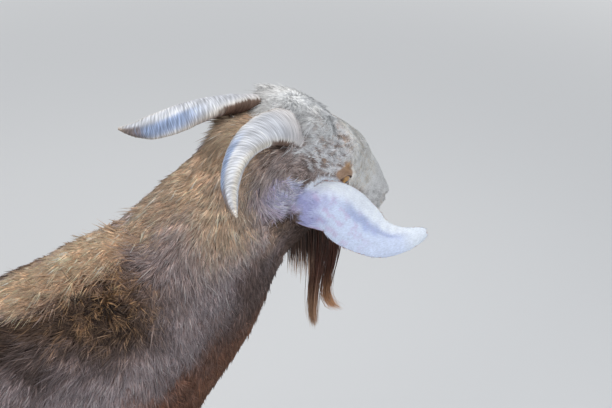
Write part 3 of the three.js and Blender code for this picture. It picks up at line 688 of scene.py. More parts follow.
# ------------------------------------------------------------------ the face: lids, folds, nostrils, lips
def sculpt(p, n):
    """The head's folds and openings, as moves of its points; all in folded head millimetres."""
    h = folded(p)
    x, y, z = h.T
    side = np.sign(to_head(p)[:, 1])
    push = np.zeros(len(h))
    on_head = share_on_head(p) > 0.3

    # brow folds between horn and eye, running across from the forehead to the temple
    brow = bump_at(h, (80, 44, 2), (31, 30, 27), 2.6)
    wave = x + 0.3 * z + 2.5 * np.sin(y / 7) + 1.6 * np.sin(z / 4.5 + y / 9)
    push += brow * 1.9 * (np.abs(np.sin(wave / 9.5 * math.pi)) ** 0.6 - 0.75)
    push -= 1.8 * falloff(along_line(h, BROW_EDGE)[0], 4.0)
    # cheekbone, nasal ridge, hollow before the eye, jaw muscle
    away, t = along_line(h, [(92, 56, -48), (128, 48, -52), (168, 34, -60), (200, 29, -62)])
    push += 1.5 * falloff(away, 8) * ramp(0, 0.15, t) * (1 - ramp(0.75, 1, t))
    away, t = along_line(h, [(128, 40, -34), (150, 30, -44), (180, 24, -50)])
    push -= 1.7 * falloff(away, 8) * (1 - ramp(0.7, 1, t))
    push -= 2.2 * bump_at(h, (74, 60, -32), (20, 20, 16))
    push += 1.6 * bump_at(h, (74, 52, -92), (34, 24, 30))
    # mouth line, with the upper lip standing over the lower
    away, t = along_line(h, MOUTH, (0, 1, 0))
    ends = 1 - ramp(0.88, 1, t)
    line_z = np.interp(x, [204, 230, 250, 266, 290], [-59, -66, -67, -62, -59])
    push -= ends * 3.4 * falloff(away, 1.25)
    push += ends * 1.1 * falloff(z - line_z - 4, 2.6)
    push += ends * 0.5 * falloff(z - line_z + 4, 2.2)
    push -= 1.6 * ramp(1, -5, z - line_z) * ramp(-30, -12, z - line_z) * ramp(206, 232, x)
    # philtrum
    away, _ = along_line(h, [(270, 0, -42), (269, 0, -60)], (1, 0, 0))
    push -= 1.6 * falloff(away, 1.3) * (x > 245)
    # nostrils: a comma-shaped slit under a rim
    away, t = along_line(h, NOSTRIL, NOSTRIL_FACES)
    front = (x > 240) & (z > -60)
    wide = 2.9 - 1.2 * t
    push -= 7.5 * (1 - 0.3 * t) * falloff(away, wide) * front
    push += 1.5 * falloff(away - 5.4, 2.4) * front * ramp(-56, -44, z)
    push[~on_head] = 0
    # lids: the skin closes over the ball and opens in an almond
    s, t, face, far = eye_view(h)
    gap = lid_gap(s, t)
    open_share = (1 - ramp(0.9, 1.12, gap)) * ramp(0.2, 0.4, face)
    lid = 1 + (1.9 + 0.9 * falloff(gap - 1.25, 0.2) - 1.3 * falloff(gap - 1.75, 0.16)
               + 0.5 * falloff(gap - 2.15, 0.2) - 0.8 * falloff(gap - 2.6, 0.18)) / EYE_R
    goal = lid * (1 - open_share) + (1 - 3.4 / EYE_R) * open_share
    around = (1 - ramp(1.12, 1.55, far)) * ramp(0.05, 0.35, face)
    around = np.maximum(around, (gap < 1.3) & (far < 1.6) & (face > 0.3))
    q = (h - EYE)
    radial = q / (norms(q)[:, None] + 1e-9)
    move = radial * ((goal - far) * EYE_R * around)[:, None]
    # inner corner of the eye, drawn out towards the nose
    inner = EYE + EYE_R * (EYE_FORE * 0.86 + EYE_OUT * 0.5)
    away, k = along_line(h, [inner, EYE + EYE_R * (EYE_FORE * 1.35 - EYE_UP * 0.22 + EYE_OUT * 0.34)])
    push -= 1.6 * falloff(away, 1.3) * (1 - 0.5 * k)
    move[:, 1] *= np.where(side == 0, 1, side)
    move[~on_head] = 0
    return p + (n * push[:, None] + move @ HEAD_TURN.T) * MM


p = sculpt(p, n)
mesh.vertices.foreach_set("co", p.astype(np.float32).ravel())
mesh.update()
mesh.polygons.foreach_set("use_smooth", np.ones(len(mesh.polygons), bool))
skin = bpy.data.objects.new("skin", mesh)
bpy.context.scene.collection.objects.link(skin)


# ------------------------------------------------------------------ markings, shared by skin and coat
def field(p, size, seed, waves=9):
    """A smooth random field of about unit spread, with features of the given size."""
    r = np.random.default_rng(seed)
    k = unit(r.normal(size=(waves, 3))) * (2 * math.pi / size * r.uniform(0.6, 1.5, waves))[:, None]
    phase = r.uniform(0, 2 * math.pi, waves)
    return np.sin(p @ k.T + phase).sum(1) * math.sqrt(2 / waves)


def paint(base, color, share):
    """Mixes a colour into linear colours by a share per point."""
    share = np.clip(share, 0, 1)[..., None]
    return base * (1 - share) + srgb(color) * share


WHORL = np.array([0.188, -0.052, 0.752])


def whorls(g, radii=1.0):
    """Distance from the whorl on each side of the neck's base."""
    return [norms((g - WHORL * [1, k, 1]) / radii) for k in (1, -1)]


def near_poll(h, edge=1.1):
    """1 in the white tuft between the horns."""
    return ramp(edge, edge - 0.32, norms((h - POLL) / (58, 56, 40)))


def ear_root(h):
    """1 where the ear grows out of the head."""
    return ramp(1.25, 0.65, norms((h - (14, 61, -77)) / (27, 30, 25)) + 0.06 * field(h * MM, 0.014, 22))


def on_tail(g):
    return ramp(-0.49, -0.52, g[:, 0]) * ramp(0.055, 0.045, np.abs(g[:, 1])) * ramp(0.52, 0.56, g[:, 2])


def beside_spine(g):
    """Distance from the crest line that runs from the tail to the nape, for body points."""
    crest_y = np.interp(g[:, 0], [0.20, 0.25, 0.29, 0.33, 0.37], [0, 0.004, 0.012, 0.024, 0.034])
    return np.abs(g[:, 1] - crest_y)


def markings(p, n):
    """Root, middle and tip colours (linear) of the hair at places on the skin, with their normals."""
    g = p - BODY_AT
    gx, gy, gz = g.T
    h = folded(p)
    x, y, z = h.T
    up = n[:, 2]
    head = share_on_head(p)
    ear, along_ear, across_ear = ear_share(h)
    ear = ramp(0.5, 0.95, ear)
    root_area = ear_root(h)
    patch, fine, fleck = field(p, 0.060, 21), field(p, 0.014, 22), field(p, 0.005, 23)
    one = np.ones((len(p), 3))
    layers = [one * srgb("867471"), one * srgb("d4c8cf")]

    def lay(share, colors):
        """Lays a colour for the hair's middle, and one for its tip if it differs."""
        layers[0] = paint(layers[0], colors[:6], share)
        layers[1] = paint(layers[1], colors[-6:], share)

    # flank browner behind the shoulder, belly fawn, throat and chest rusty
    lay(0.8 * ramp(0.12, -0.05, gx + 0.03 * patch), "806454 baa290")
    lay(0.8 * ramp(-0.2, -0.75, up), "a08670 cebaa2")
    throat = ramp(0.16, 0.50, n[:, 0] - 0.35 * up + 0.04 * patch) * ramp(0.1, 0.2, gx)
    lay(0.9 * throat, "4e3e38 705c54")
    lay(0.85 * throat * ramp(0.70, 0.63, gz), "704834 8e644c")
    # tan nape and topline, with a dark band beside it and a dark whorl at the neck's base
    off = beside_spine(g) + 0.005 * patch + 0.002 * fine
    high = ramp(0.56, 0.62, gz) * ramp(-0.1, 0.2, up)
    nape = ramp(0.22, 0.30, gx)
    crest = ramp(0.28, 0.33, gx) * ramp(0.74, 0.80, gz)
    lay(0.75 * high * nape * (1 - ramp(0.03, 0.075, off)), "b0968c e2cec8")
    lay(0.85 * crest * (1 - ramp(0.05, 0.085, off)), "cea888 f0d4b6")
    band = ramp(0.024, 0.036, off) * (1 - ramp(0.060, 0.098, off))
    band = band * ramp(0.27, 0.20, gx) * ramp(-0.5, 0.0, gx) * high
    whorl = np.exp(-(np.minimum(*whorls(g, [0.062, 0.040, 0.048])) ** 2))
    lay(0.97 * band, "2c1f19 403027")
    lay(0.85 * whorl, "604a3c 9c8068")
    lay(0.9 * whorl * ramp(0.4, 1.2, fine + 0.5 * fleck), "906c4a c4a07a")
    lay(whorl * ramp(0.3, 1.0, -fine - 0.4 * patch), "2c2320 463a34")
    lay(0.92 * high * (1 - ramp(0.017, 0.033, off)) * (1 - 0.3 * nape), "d4a480 f8d6b4")
    # legs: brown, darker in front, with pale pasterns
    leg = ramp(0.40, 0.28, gz)
    lay(0.8 * leg, "7a5e4c a08672")
    lay(0.7 * leg * ramp(0.2, 0.8, n[:, 0]), "3e302a 5e4e46")
    lay(0.75 * ramp(0.11, 0.06, gz + 0.006 * fine), "baa48c daccba")
    tail = ramp(-0.49, -0.53, gx) * ramp(0.52, 0.56, gz) * ramp(0.05, 0.04, np.abs(gy))
    lay(0.6 * tail, "b48c70 d8b696")
    udder = bump_at(g, (-0.335, 0, 0.41), (0.085, 0.07, 0.06)) * 2.5
    lay(udder, "be9686 ceac9c")
    body = layers

    # head: brown cheeks, roan brow, white poll, cream face, pale muzzle
    layers = [one * srgb("8e7c75"), one * srgb("c8bcbb")]
    lay(0.85 * ramp(24, -2, x) * ramp(-95, -60, z) * ramp(50, 30, y), "b08e72 e0c2a2")
    lay(0.9 * ramp(-34, -58, z + 3 * fine) * ramp(20, 50, x), "48352c 665044")
    # under the jaw: dark brown hair, darkened further as painted shade under the jaw
    lay(0.9 * ramp(-84, -100, z) * ramp(20, 60, x), "342722 4a3a32")
    brow = ramp(1.15, 0.75, norms((h - (72, 46, 0)) / (60, 42, 36)) + 0.08 * fine)
    lay(brow, "eeebee faf9fc")
    streak = field(h * (0.4, 1.0, 1.0), 9, 27) + 0.5 * fleck
    lay(0.8 * brow * ramp(0.3, 1.0, streak), "765e50 aa9280")
    lay(0.5 * brow * ramp(1.0, 1.8, fine - 0.6 * fleck), "ae8664 d0ae8e")
    temple = bump_at(h, (44, 58, -30), (34, 26, 22)) * 1.3
    lay(0.6 * temple * ramp(-0.3, 0.9, streak), "4e3e36 746258")
    face = ramp(92, 112, x + 2 * patch) * ramp(-46, -28, z + 2 * fine)
    lay(face, "eeeae2 faf8f2")
    lay(0.5 * face * ramp(0.3, 1.3, field(p, 0.018, 25)) * ramp(235, 170, x), "b8b2aa d6d0ca")
    lay(0.35 * face * ramp(0.6, 1.4, streak), "c4ac92 deccb8")
    lay(0.8 * bump_at(h, (103, 60, -18), (9, 16, 18)) * 1.7, "ac805a cea67e")
    muzzle = ramp(186, 222, x + 2 * fine)
    lay(0.85 * muzzle, "e2e2e2 f0f0f0")
    lay(muzzle * ramp(-64, -74, z), "b09c8c d4c6b8")
    lay(0.8 * muzzle * ramp(0.4, 1.2, fine) * ramp(236, 262, x), "beac9e d4c6ba")
    ring = norms(h - EYE)
    lay(ramp(21.5, 18.0, ring), "967862 b29680")
    s, t, facing, far = eye_view(h)
    lay(ramp(1.28, 1.06, lid_gap(s, t)) * (far < 1.6) * (facing > 0.3), "281e1b")
    # a brown line along the crease between brow and forehead: partly the hair's colour, partly painted shade
    # in the crease
    crease = along_line(h, BROW_EDGE)[0]
    lay(0.75 * falloff(crease, 4.5), "967454 be9c7a")
    lay(near_poll(h + 3 * fine[:, None]), "f6f6f4 fcfcfc")
    lay(0.95 * root_area, "c4c4ee dadcfc")
    lay(0.5 * root_area * ramp(0.3, 1.2, streak), "a8829e c4aac4")
    nose = falloff(along_line(h, NOSTRIL, NOSTRIL_FACES)[0], 5.0) * (x > 238)
    pad = ramp(256, 264, x) * ramp(-66, -60, z) * ramp(-36, -42, z)
    lay(0.6 * pad, "96847e")
    lay(1.15 * nose, "483634")
    lips = falloff(along_line(h, MOUTH, (0, 1, 0))[0], 2.0) * ramp(200, 212, x)
    lay(1.1 * lips, "463430")
    layers = [b * (1 - head[:, None]) + c * head[:, None] for b, c in zip(body, layers)]

    # ears: white, lavender at the root, veined outside, pink inside; the upper half and the tip painted
    # lighter as painted light, with painted shade along the fold
    local = n @ HEAD_TURN
    local[:, 1] *= np.where(to_head(p)[:, 1] < 0, -1, 1)
    lay(ear, "d0dbf4 dee7fa")
    # the upper half is painted lighter than the bluish lower half: painted light from above, with the lower
    # half in painted shade
    lay(ear * ramp(-0.1, 0.5, across_ear), "e4ebf6 f0f4fd")
    # the tip painted lighter: a painted highlight on the rounded end
    lay(ear * ramp(0.80, 0.92, along_ear), "dee6f2 eef4fc")
    # blue-grey along the floor of the fold: painted shade in the valley
    lay(0.75 * ear * ear_fold(along_ear, across_ear + 0.05 * fine), "94a0ca a8b4da")
    low_root = ear * ramp(0.36, 0.12, along_ear + 0.03 * fine) * ramp(0.7, -0.1, across_ear)
    lay(0.85 * low_root, "a09ece bebee8")
    vein = ramp(0.5, 1.4, field(p * [1, 1, 1.6], 0.016, 26) + 0.4 * fleck) * ramp(0.70, 0.45, along_ear)
    lay(0.45 * ear * vein * ramp(0.4, 0.0, across_ear), "bea4c8 ccb4d4")
    lay(0.8 * ear * ramp(0.1, -0.2, local @ unit(EAR_BACK)), "cea49a d8b4aa")

    # dark coat colours are lifted, the darkest most, as painted light that makes up for the shade between
    # tufts; the ears stay as they are
    mid, tip = (c + 0.5 * c * (1 - c) * (1 - ear[:, None]) for c in layers)
    plain = np.maximum(face, brow)
    calm = np.max([ear, near_poll(h) * head, 0.9 * root_area * head, 0.85 * plain * head], axis=0)[:, None]
    shade = 1 + (np.exp(0.10 * patch + 0.10 * fine + 0.05 * fleck)[:, None] - 1) * (1 - 0.75 * calm)
    tip = np.clip(tip * (1 + (shade - 1) * 0.6), 0, 0.96)
    # the root colour is the middle darkened, painted shade deep in the coat, less so on the ears, poll and
    # face
    return mid * (0.50 + 0.48 * calm) * shade, np.clip(mid * shade, 0, 0.95), tip


def set_colors(mesh, rgb):
    layer = mesh.color_attributes.new("markings", "FLOAT_COLOR", "POINT")
    rgba = np.ones((len(rgb), 4), np.float32)
    rgba[:, :3] = rgb
    layer.data.foreach_set("color", rgba.ravel())


t = triangles_of(mesh)
skin_p = points_of(mesh)
skin_n = vertex_normals(skin_p, t)
root_c, mid_c, tip_c = markings(skin_p, skin_n)
h = folded(skin_p)
# The skin under long hair takes the hair's root colour, painted shade under the coat; under short hair and on
# the ears it takes the hair's own colour.
short = share_on_head(skin_p) * np.maximum(ramp(30, 60, h[:, 0]), np.maximum(near_poll(h, 1.0), ear_root(h)))
short = np.maximum(short, ear_share(h)[0])[:, None]
set_colors(mesh, root_c * (1 - short) + (mid_c * 0.7 + tip_c * 0.3) * short)

m_skin, _ = detailed("skin", 420.0, 0.28, 0.35, 0.0012, 0.75, 0.25, 3.0)
mesh.materials.append(m_skin)
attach(skin, "root")
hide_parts(*FLESH, "ear_left", "ear_right")


# ------------------------------------------------------------------ the coat's lie
def hair_flow(p, n):
    """The way the hair lies at places on the skin, as unit vectors along the surface."""
    g = p - BODY_AT
    gx, gy, gz = g.T
    h = folded(p)
    x, y, z = h.T
    side = np.where(to_head(p)[:, 1] < 0, -1.0, 1.0)
    up = n[:, 2]
    head = share_on_head(p)

    def mix(a, b, share):
        return a * (1 - share[:, None]) + b * share[:, None]

    top = ramp(0.25, 0.80, up)
    flow = mix(np.array([-0.75, 0, -0.66]), np.array([-1, 0, -0.1]), top)
    thigh = ramp(-0.24, -0.36, gx) * (1 - top)
    flow = mix(flow, np.array([-0.25, 0, -1]), 0.8 * thigh)
    shoulder = ramp(-0.02, 0.10, gx) * (1 - top)
    flow = mix(flow, np.array([-0.42, 0, -0.92]), shoulder)
    neck = ramp(0.17, 0.25, gx) * (1 - top)
    flow = mix(flow, np.array([-0.10, 0, -1]), neck)
    belly = ramp(-0.45, -0.85, up) * ramp(0.24, 0.16, gx) * ramp(-0.40, -0.36, gx)
    flow = mix(flow, np.array([-1, 0, 0]), belly)
    leg = ramp(0.46, 0.36, gz)
    flow = mix(flow, np.array([-0.12, 0, -1]), leg * (1 - belly))
    # the whorls turn the hair out from one spot on each side of the neck's base
    for sign in (1, -1):
        out = g - WHORL * [1, sign, 1]
        d = norms(out)
        turned = out + 0.8 * np.cross(n, out) * sign
        flow = mix(flow, turned / (d[:, None] + 1e-6), 0.75 * falloff(d, 0.034))
    # tail: out along it
    tail = on_tail(g)
    drop = ramp(-0.55, -0.59, gx)
    flow = mix(flow, np.stack([-(1 - 0.75 * drop), 0.4 * np.sign(gy), -0.2 - 0.9 * drop], 1), tail)

    # head: down the bridge to the nose, back over the poll and cheeks
    down = ramp(92, 116, x)
    face = np.stack([-1 + 2 * down, 0.35 + 0 * down, -0.15 - 0.15 * down], 1)
    cheek = ramp(-30, -60, z) * ramp(190, 150, x)
    face = mix(face, np.array([-0.9, 0.1, -0.45]), cheek)
    crown = bump_at(h, POLL, (56, 48, 44))
    spread = unit(np.stack([x - 30, 1.3 * y + 4, 0 * down], 1))
    face = mix(face, spread, np.clip(1.8 * crown, 0, 1))
    face[:, 1] *= side
    flow = mix(flow, face @ HEAD_TURN.T, head * ramp(-5, 30, x))
    # ears: out along them
    ear, t, _ = ear_share(h)
    last = len(EAR_TS) - 1
    along = ear_frame(EAR_TS)[1][np.clip((t * last * ear).astype(int), 0, last)]
    along[:, 1] *= side
    flow = mix(flow, along @ HEAD_TURN.T, np.maximum(ear, 0.85 * ear_root(h) * head))
    flow = flow - n * (flow * n).sum(1)[:, None]
    return unit(flow + 1e-9)


def lawn(p, t, density, count):
    """Random places on the mesh by density per triangle; gives points and normals."""
    a, b, c = p[t[:, 0]], p[t[:, 1]], p[t[:, 2]]
    area = norms(np.cross(b - a, c - a)) / 2
    weight = area * density
    total = np.cumsum(weight)
    places = (np.arange(count) + rng.random(count)) / count * total[-1]
    k = np.minimum(np.searchsorted(total, places), len(t) - 1)
    u, v = rng.random(count), rng.random(count)
    flip = u + v > 1
    u, v = np.where(flip, 1 - u, u), np.where(flip, 1 - v, v)
    w = 1 - u - v
    at = a[k] * w[:, None] + b[k] * u[:, None] + c[k] * v[:, None]
    normal = unit(skin_n[t[k, 0]] * w[:, None] + skin_n[t[k, 1]] * u[:, None] + skin_n[t[k, 2]] * v[:, None])
    return at, normal


TUFTS = 356000
corner = skin_p[t].mean(1)
corner_n = unit(skin_n[t].sum(1))


def coat_plan(p, n):
    """Tufts per square millimetre, and each tuft's length, width and stand, in metres."""
    g = p - BODY_AT
    gx, _, gz = g.T
    h = folded(p)
    x = h[:, 0]
    head = share_on_head(p) * ramp(-5, 40, x)
    ear, along_ear, _ = ear_share(h)
    ear = ramp(0.4, 0.9, ear)
    high = ramp(0.28, 0.44, gz)
    near = ramp(0.04, 0.12, gx) * high
    crown = near_poll(h, 1.15) * share_on_head(p)
    fringe = ear_root(h) * share_on_head(p) * (1 - ear)
    top = (1 - ramp(0.02, 0.05, beside_spine(g))) * high * ramp(0, 0.3, n[:, 2]) * (1 - head)

    number = 0.10 + 0.05 * high + 0.26 * near
    number = number + (0.46 - number) * head + 0.45 * crown
    number = number * (1 - ear) + 0.14 * ear
    length = 0.010 + 0.017 * high - 0.003 * near + 0.006 * top
    length = length + (0.0075 - length) * head
    length = length + (0.019 - length) * crown
    length = length + (0.013 - length) * 0.8 * fringe
    length = length * (1 - ear) + (0.0042 + 0.006 * ramp(0.3, 0.1, along_ear)) * ear
    width = 0.0015 + 0.0012 * high - 0.0017 * near
    width = width + (0.00085 + 0.0004 * crown - width) * np.maximum(head, crown)
    width = width * (1 - ear) + 0.0006 * ear
    whorl = sum(np.exp(-(away / 0.05) ** 2) for away in whorls(g))
    width *= (1 - 0.3 * top) * (1 - 0.3 * whorl)
    length *= 1 - 0.25 * whorl
    number = number * (1 + 0.35 * top)
    stand = coat_depth(p) * (1 + 0.25 * top) * (1 - 0.42 * crown)

    face = head * ramp(120, 180, x)
    length *= 1 - 0.45 * face
    width *= 1 - 0.2 * face
    tail = on_tail(g)
    length = (length + 0.012 * tail) * (1 - 0.5 * tail * ramp(-0.55, -0.59, gx))
    number = number * (1 + tail)
    # bare places: round the eye, nostrils and lips, inside the horn's root, the udder
    bare = norms(h - EYE - (2, 0, 3)) < 20
    bare |= (along_line(h, NOSTRIL, NOSTRIL_FACES)[0] < 5) & (x > 240)
    bare |= (along_line(h, MOUTH, (0, 1, 0))[0] < 1.8) & (x > 204)
    bare |= along_line(h, bezier(HORN_PATH, np.linspace(0, 0.3, 10)) / MM)[0] < 10
    bare |= bump_at(g, (-0.335, 0, 0.41), (0.08, 0.065, 0.055)) > 0.12
    bare |= gz < 0.040
    return np.where(bare, 0, number), length, width, stand


number = coat_plan(corner, corner_n)[0]
at, normal = lawn(skin_p, t, number, TUFTS)
_, length, width, stand = coat_plan(at, normal)
flow = hair_flow(at, normal)


def turned(v, axis, angle):
    c, s = np.cos(angle)[:, None], np.sin(angle)[:, None]
    return v * c + np.cross(axis, v) * s


g = at - BODY_AT
count = len(at)
whorl = sum(np.exp(-(away ** 2)) for away in whorls(g, [0.05, 0.04, 0.04]))
clump = field(at, 0.012, 31)
swirl = field(at, 0.045, 32)
angle = 0.20 * clump + 0.14 * swirl + 0.9 * whorl * clump + rng.normal(0, 0.13, count) * (1 + 1.2 * whorl)
flow = turned(flow, normal, angle)
length = length * np.exp(rng.normal(0, 0.16, count)) * (1 + 0.10 * field(at, 0.02, 33))
rise = stand * rng.uniform(0.6, 1.12, count) * (1 + 0.25 * whorl * field(at, 0.01, 34))
rise = np.minimum(rise, length * 0.8)
wide = width * rng.uniform(0.7, 1.25, count)
guard = rng.random(count) < 0.10 * (width > 0.0008)
length, rise, wide = length * (1 + 0.25 * guard), rise * (1 + 0.15 * guard), wide * (1 - 0.45 * guard)
side = np.cross(normal, flow)
bend = rng.normal(0, 0.06, count)
root = at - normal * 0.0006
reach = np.sqrt(np.maximum(length**2 - rise**2, 1e-9))
middle_at = root + flow * (0.42 * reach)[:, None] + normal * (0.66 * rise + 0.0004)[:, None]
tip_at = root + flow * reach[:, None] + normal * rise[:, None] + side * (bend * length)[:, None]
left = middle_at - side * (wide / 2)[:, None]
right = middle_at + side * (wide / 2)[:, None]
root_c, mid_c, tip_c = markings(at, normal)
tone = np.exp(rng.normal(0, 0.22, count) + 0.10 * clump)[:, None]
pale = rng.random(count)[:, None]
ear = ear_share(folded(at))[0][:, None]
calm = np.maximum(0.75 * ear, 0.5 * (share_on_head(at) * ramp(90, 120, folded(at)[:, 0]))[:, None])
tone = 1 + (tone - 1) * (1 - calm)
mid_c = np.clip(mid_c * tone, 0, 0.95)
tip_c = np.clip((tip_c * (0.35 + 0.65 * pale) + mid_c * 0.65 * (1 - pale)) * tone, 0, 0.96)
root_c = root_c * tone

m_coat, _ = detailed("coat", 900.0, 0.18, 0.2, 0.0004, 0.62, 0.28, 2.0)
PATCH = 0.003  # a tuft's side on the unwrap
SLIVER = np.array([[0, 1, 2], [3, 2, 1], [0, 3, 1], [0, 2, 3]])


def unwrap(axis_place, angle):
    """A cell of its own for each tuft on a cylinder's unwrap, spread evenly by rank."""
    n = len(axis_place)
    columns = int(math.sqrt(n)) + 1
    order = np.argsort(axis_place)
    column = np.empty(n, int)
    column[order] = np.arange(n) * columns // n
    u = (column + 0.5) / columns
    v = np.empty(n)
    for k in range(columns):
        own = np.flatnonzero(column == k)
        own = own[np.argsort(angle[own])]
        v[own] = (np.arange(len(own)) + 0.5) / len(own)
    return 0.01 + 0.98 * u, 0.01 + 0.98 * v


def bake_map(obj, faces, axis_place, angle, patch):
    """Gives each tuft or hair a patch of its own in OFBake, at its root's place on the unwrap."""
    place = np.stack(unwrap(axis_place, angle), 1)
    uv = (place[:, None] + patch[None]).reshape(-1, 2)
    layer = obj.data.uv_layers.new(name="OFBake")
    layer.data.foreach_set("uv", uv[faces.ravel()].astype(np.float32).ravel())


def tuft_piece(name, pick, axis_place, angle):
    n = len(pick)
    verts = np.stack([root[pick], left[pick], right[pick], tip_at[pick]], 1).reshape(-1, 3)
    faces = (np.arange(n)[:, None, None] * 4 + SLIVER[None]).reshape(-1, 3)
    obj = new_object(name, verts, faces)
    # the root corner takes the root colour's painted shade, and the right corner is painted 6% lighter than
    # the left, a painted highlight down one side of each tuft
    colors = np.stack([root_c[pick], mid_c[pick], mid_c[pick] * 1.06, tip_c[pick]], 1)
    set_colors(obj.data, colors.reshape(-1, 3))
    bake_map(obj, faces, axis_place, angle, np.array([[0, -0.5], [-0.5, 0], [0.5, 0], [0, 0.5]]) * PATCH)
    obj.data.materials.append(m_coat)
    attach(obj, "root")


head_at = to_head(at)
is_head = share_on_head(at) > 0.5
is_leg = (g[:, 2] < 0.40) & ~is_head & ~((g[:, 2] > 0.36) & (np.abs(g[:, 1]) < 0.05))
is_neck = ~(is_head | is_leg) & (g[:, 0] > 0.20)
is_rump = ~(is_head | is_leg) & (g[:, 0] < -0.30)
is_body = ~(is_head | is_leg | is_neck | is_rump)
spine_z = 0.60
PIECE_TUFTS = 48000  # 192,000 triangles, under the limit of 200,000 for a piece


def add_region(name, mask, axis_place, angle):
    pick = np.flatnonzero(mask)
    pick = pick[np.argsort(axis_place[pick])]
    parts = max(1, math.ceil(len(pick) / PIECE_TUFTS))
    for k, part in enumerate(np.array_split(pick, parts)):
        tuft_piece(f"{name}_{k + 1}", part, axis_place[part], angle[part])


x, y, z = head_at.T
add_region("coat_head", is_head, x + 0.6 * np.abs(y), np.arctan2(y, z + 0.05))
neck_axis = unit([0.72, 0.1, 0.69])
neck_up = (g - [0.284, 0.008, 0.694]) @ np.cross([0, 1, 0], neck_axis)
add_region("coat_neck", is_neck, g @ neck_axis, np.arctan2(g[:, 1], neck_up))
for name, mask in (("coat_barrel", is_body), ("coat_rump", is_rump)):
    add_region(name, mask, g[:, 0], np.arctan2(g[:, 1], g[:, 2] - spine_z))
for end, centre in (("front", 0.142), ("hind", -0.40)):
    for sign, word in SIDES:
        mask = is_leg & ((g[:, 0] > -0.1) == (end == "front")) & (g[:, 1] * sign > 0)
        add_region(f"coat_{end}_{word}", mask, g[:, 2], np.arctan2(g[:, 1] - sign * 0.078, g[:, 0] - centre))


# ------------------------------------------------------------------ horns, beard, eyes and hooves
def add_piece(name, verts, faces, colors, mat, replaced):
    if len(colors) == len(verts) - 2:  # a closed tube's two end points
        colors = np.vstack([colors, colors[:1], colors[-1:]])
    obj = new_object(name, verts, faces)
    set_colors(obj.data, np.clip(colors, 0, 0.95))
    obj.data.materials.append(mat)
    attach(obj, "root")
    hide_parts(*replaced)
    return obj


m_horn, _ = detailed("horn", 650.0, 0.34, 0.4, 0.0005, 0.62, 0.25)
HORN_SIDES = 56
horn_ts = np.concatenate([np.linspace(-0.07, 0.88, 230), 1 - 0.12 * np.linspace(1, 0.02, 30)[1:] ** 1.4])
for sign, word in SIDES:
    t = horn_ts[:, None]
    a = circle(HORN_SIDES)[None]
    around = grid(0.9 * t, 0.014 * np.cos(a), 0.014 * np.sin(a))
    slow = field(around, 0.05, 41).reshape(len(horn_ts), -1)
    fine = field(around * [1, 0.25, 0.25], 0.0085, 42).reshape(slow.shape)
    dash = field(around * [1, 0.55, 0.55], 0.0065, 43).reshape(slow.shape)
    turns = 2 * math.pi * (78 * t + 0.6 * np.sin(17 * t) + 0.5 * np.sin(41 * t + 1)) + 1.6 * slow + 0.7 * fine
    young = ramp(0.80, 0.30, t + 0.04 * slow)
    ridge = (0.5 + 0.5 * np.sin(turns)) ** 1.2
    swell = 0.00026 * (ridge - 0.6) * (0.2 + 0.8 * young) + 0.00030 * np.sin(turns / 6.1) * young
    swell = (swell + 0.00016 * fine - 0.0004) * ramp(1.0, 0.93, t)
    points = horn_rings(sign, horn_ts, HORN_SIDES, 0.975, swell)
    verts, faces = closed_tube(points, len(horn_ts), HORN_SIDES, sign < 0)
    facing = points.reshape(len(horn_ts), HORN_SIDES, 3)
    facing = unit(facing - facing.mean(1, keepdims=True)) @ HEAD_TURN * [1, sign, 1]
    # under: how far each point of the horn faces downwards and inwards, the side painted in shade below
    under = facing @ unit([0.45, -0.40, -0.80])
    tone = np.ones((*slow.shape, 3)) * srgb("ccced5")

    inner = ramp(0.0, -0.6, facing[..., 1])
    brown_shaded_side = ramp(0.38, 0.12, np.cos(a) + 0.06 * fine)
    shaded_tip_side = ramp(-0.9, -0.1, under) * ramp(0.2, -0.3, facing[..., 1])
    for color, share in (
        ("e2dcda", ramp(0.30, 0.10, t) + 0 * slow),
        # blue-grey on the inner face along the middle: painted shade, tinted by blue sky light
        ("8c9ec0", 0.9 * inner * ramp(0.40, 0.60, t) * ramp(0.98, 0.88, t)),
        ("c8b6b4", 0.5 * ramp(0.10, 0.0, t + 0.02 * slow)),
        ("ded4c4", 0.8 * np.abs(np.sin(a)) ** 8 * ramp(0.1, 0.25, t)),
        # greyish mauve under the base half: painted shade under the horn
        ("a49390", 0.8 * ramp(0.15, 0.7, under) * ramp(0.62, 0.40, t)),
        # dark brown on the inner face near the base: brown horn, darkened further as painted shade on that
        # face
        ("684f41", 0.95 * brown_shaded_side * ramp(0.43, 0.34, t + 0.01 * slow)),
        # grey-brown on the lower inner side near the tip: painted shade
        ("7a685c", 0.85 * ramp(0.80, 0.90, t + 0.02 * fine) * shaded_tip_side),
        ("cebca8", 0.5 * ramp(0.93, 1.0, t) + 0 * slow),
    ):
        tone = paint(tone, color, share)
    shade = 0.22 * dash * (0.5 + 0.5 * ramp(0.2, 0.5, t)) + 0.08 * fine + 0.05 * slow
    shade = shade - 0.13 * (1 - ridge) * young
    tone = np.clip(tone * np.exp(shade)[..., None], 0, 0.9).reshape(-1, 3)
    add_piece(f"horn_{word}_look", verts, faces, tone, m_horn, [f"horn_{word}"])


FLAT, HAIR_RINGS, HAIR_SIDES = 0.55, 10, 4  # a beard hair's section


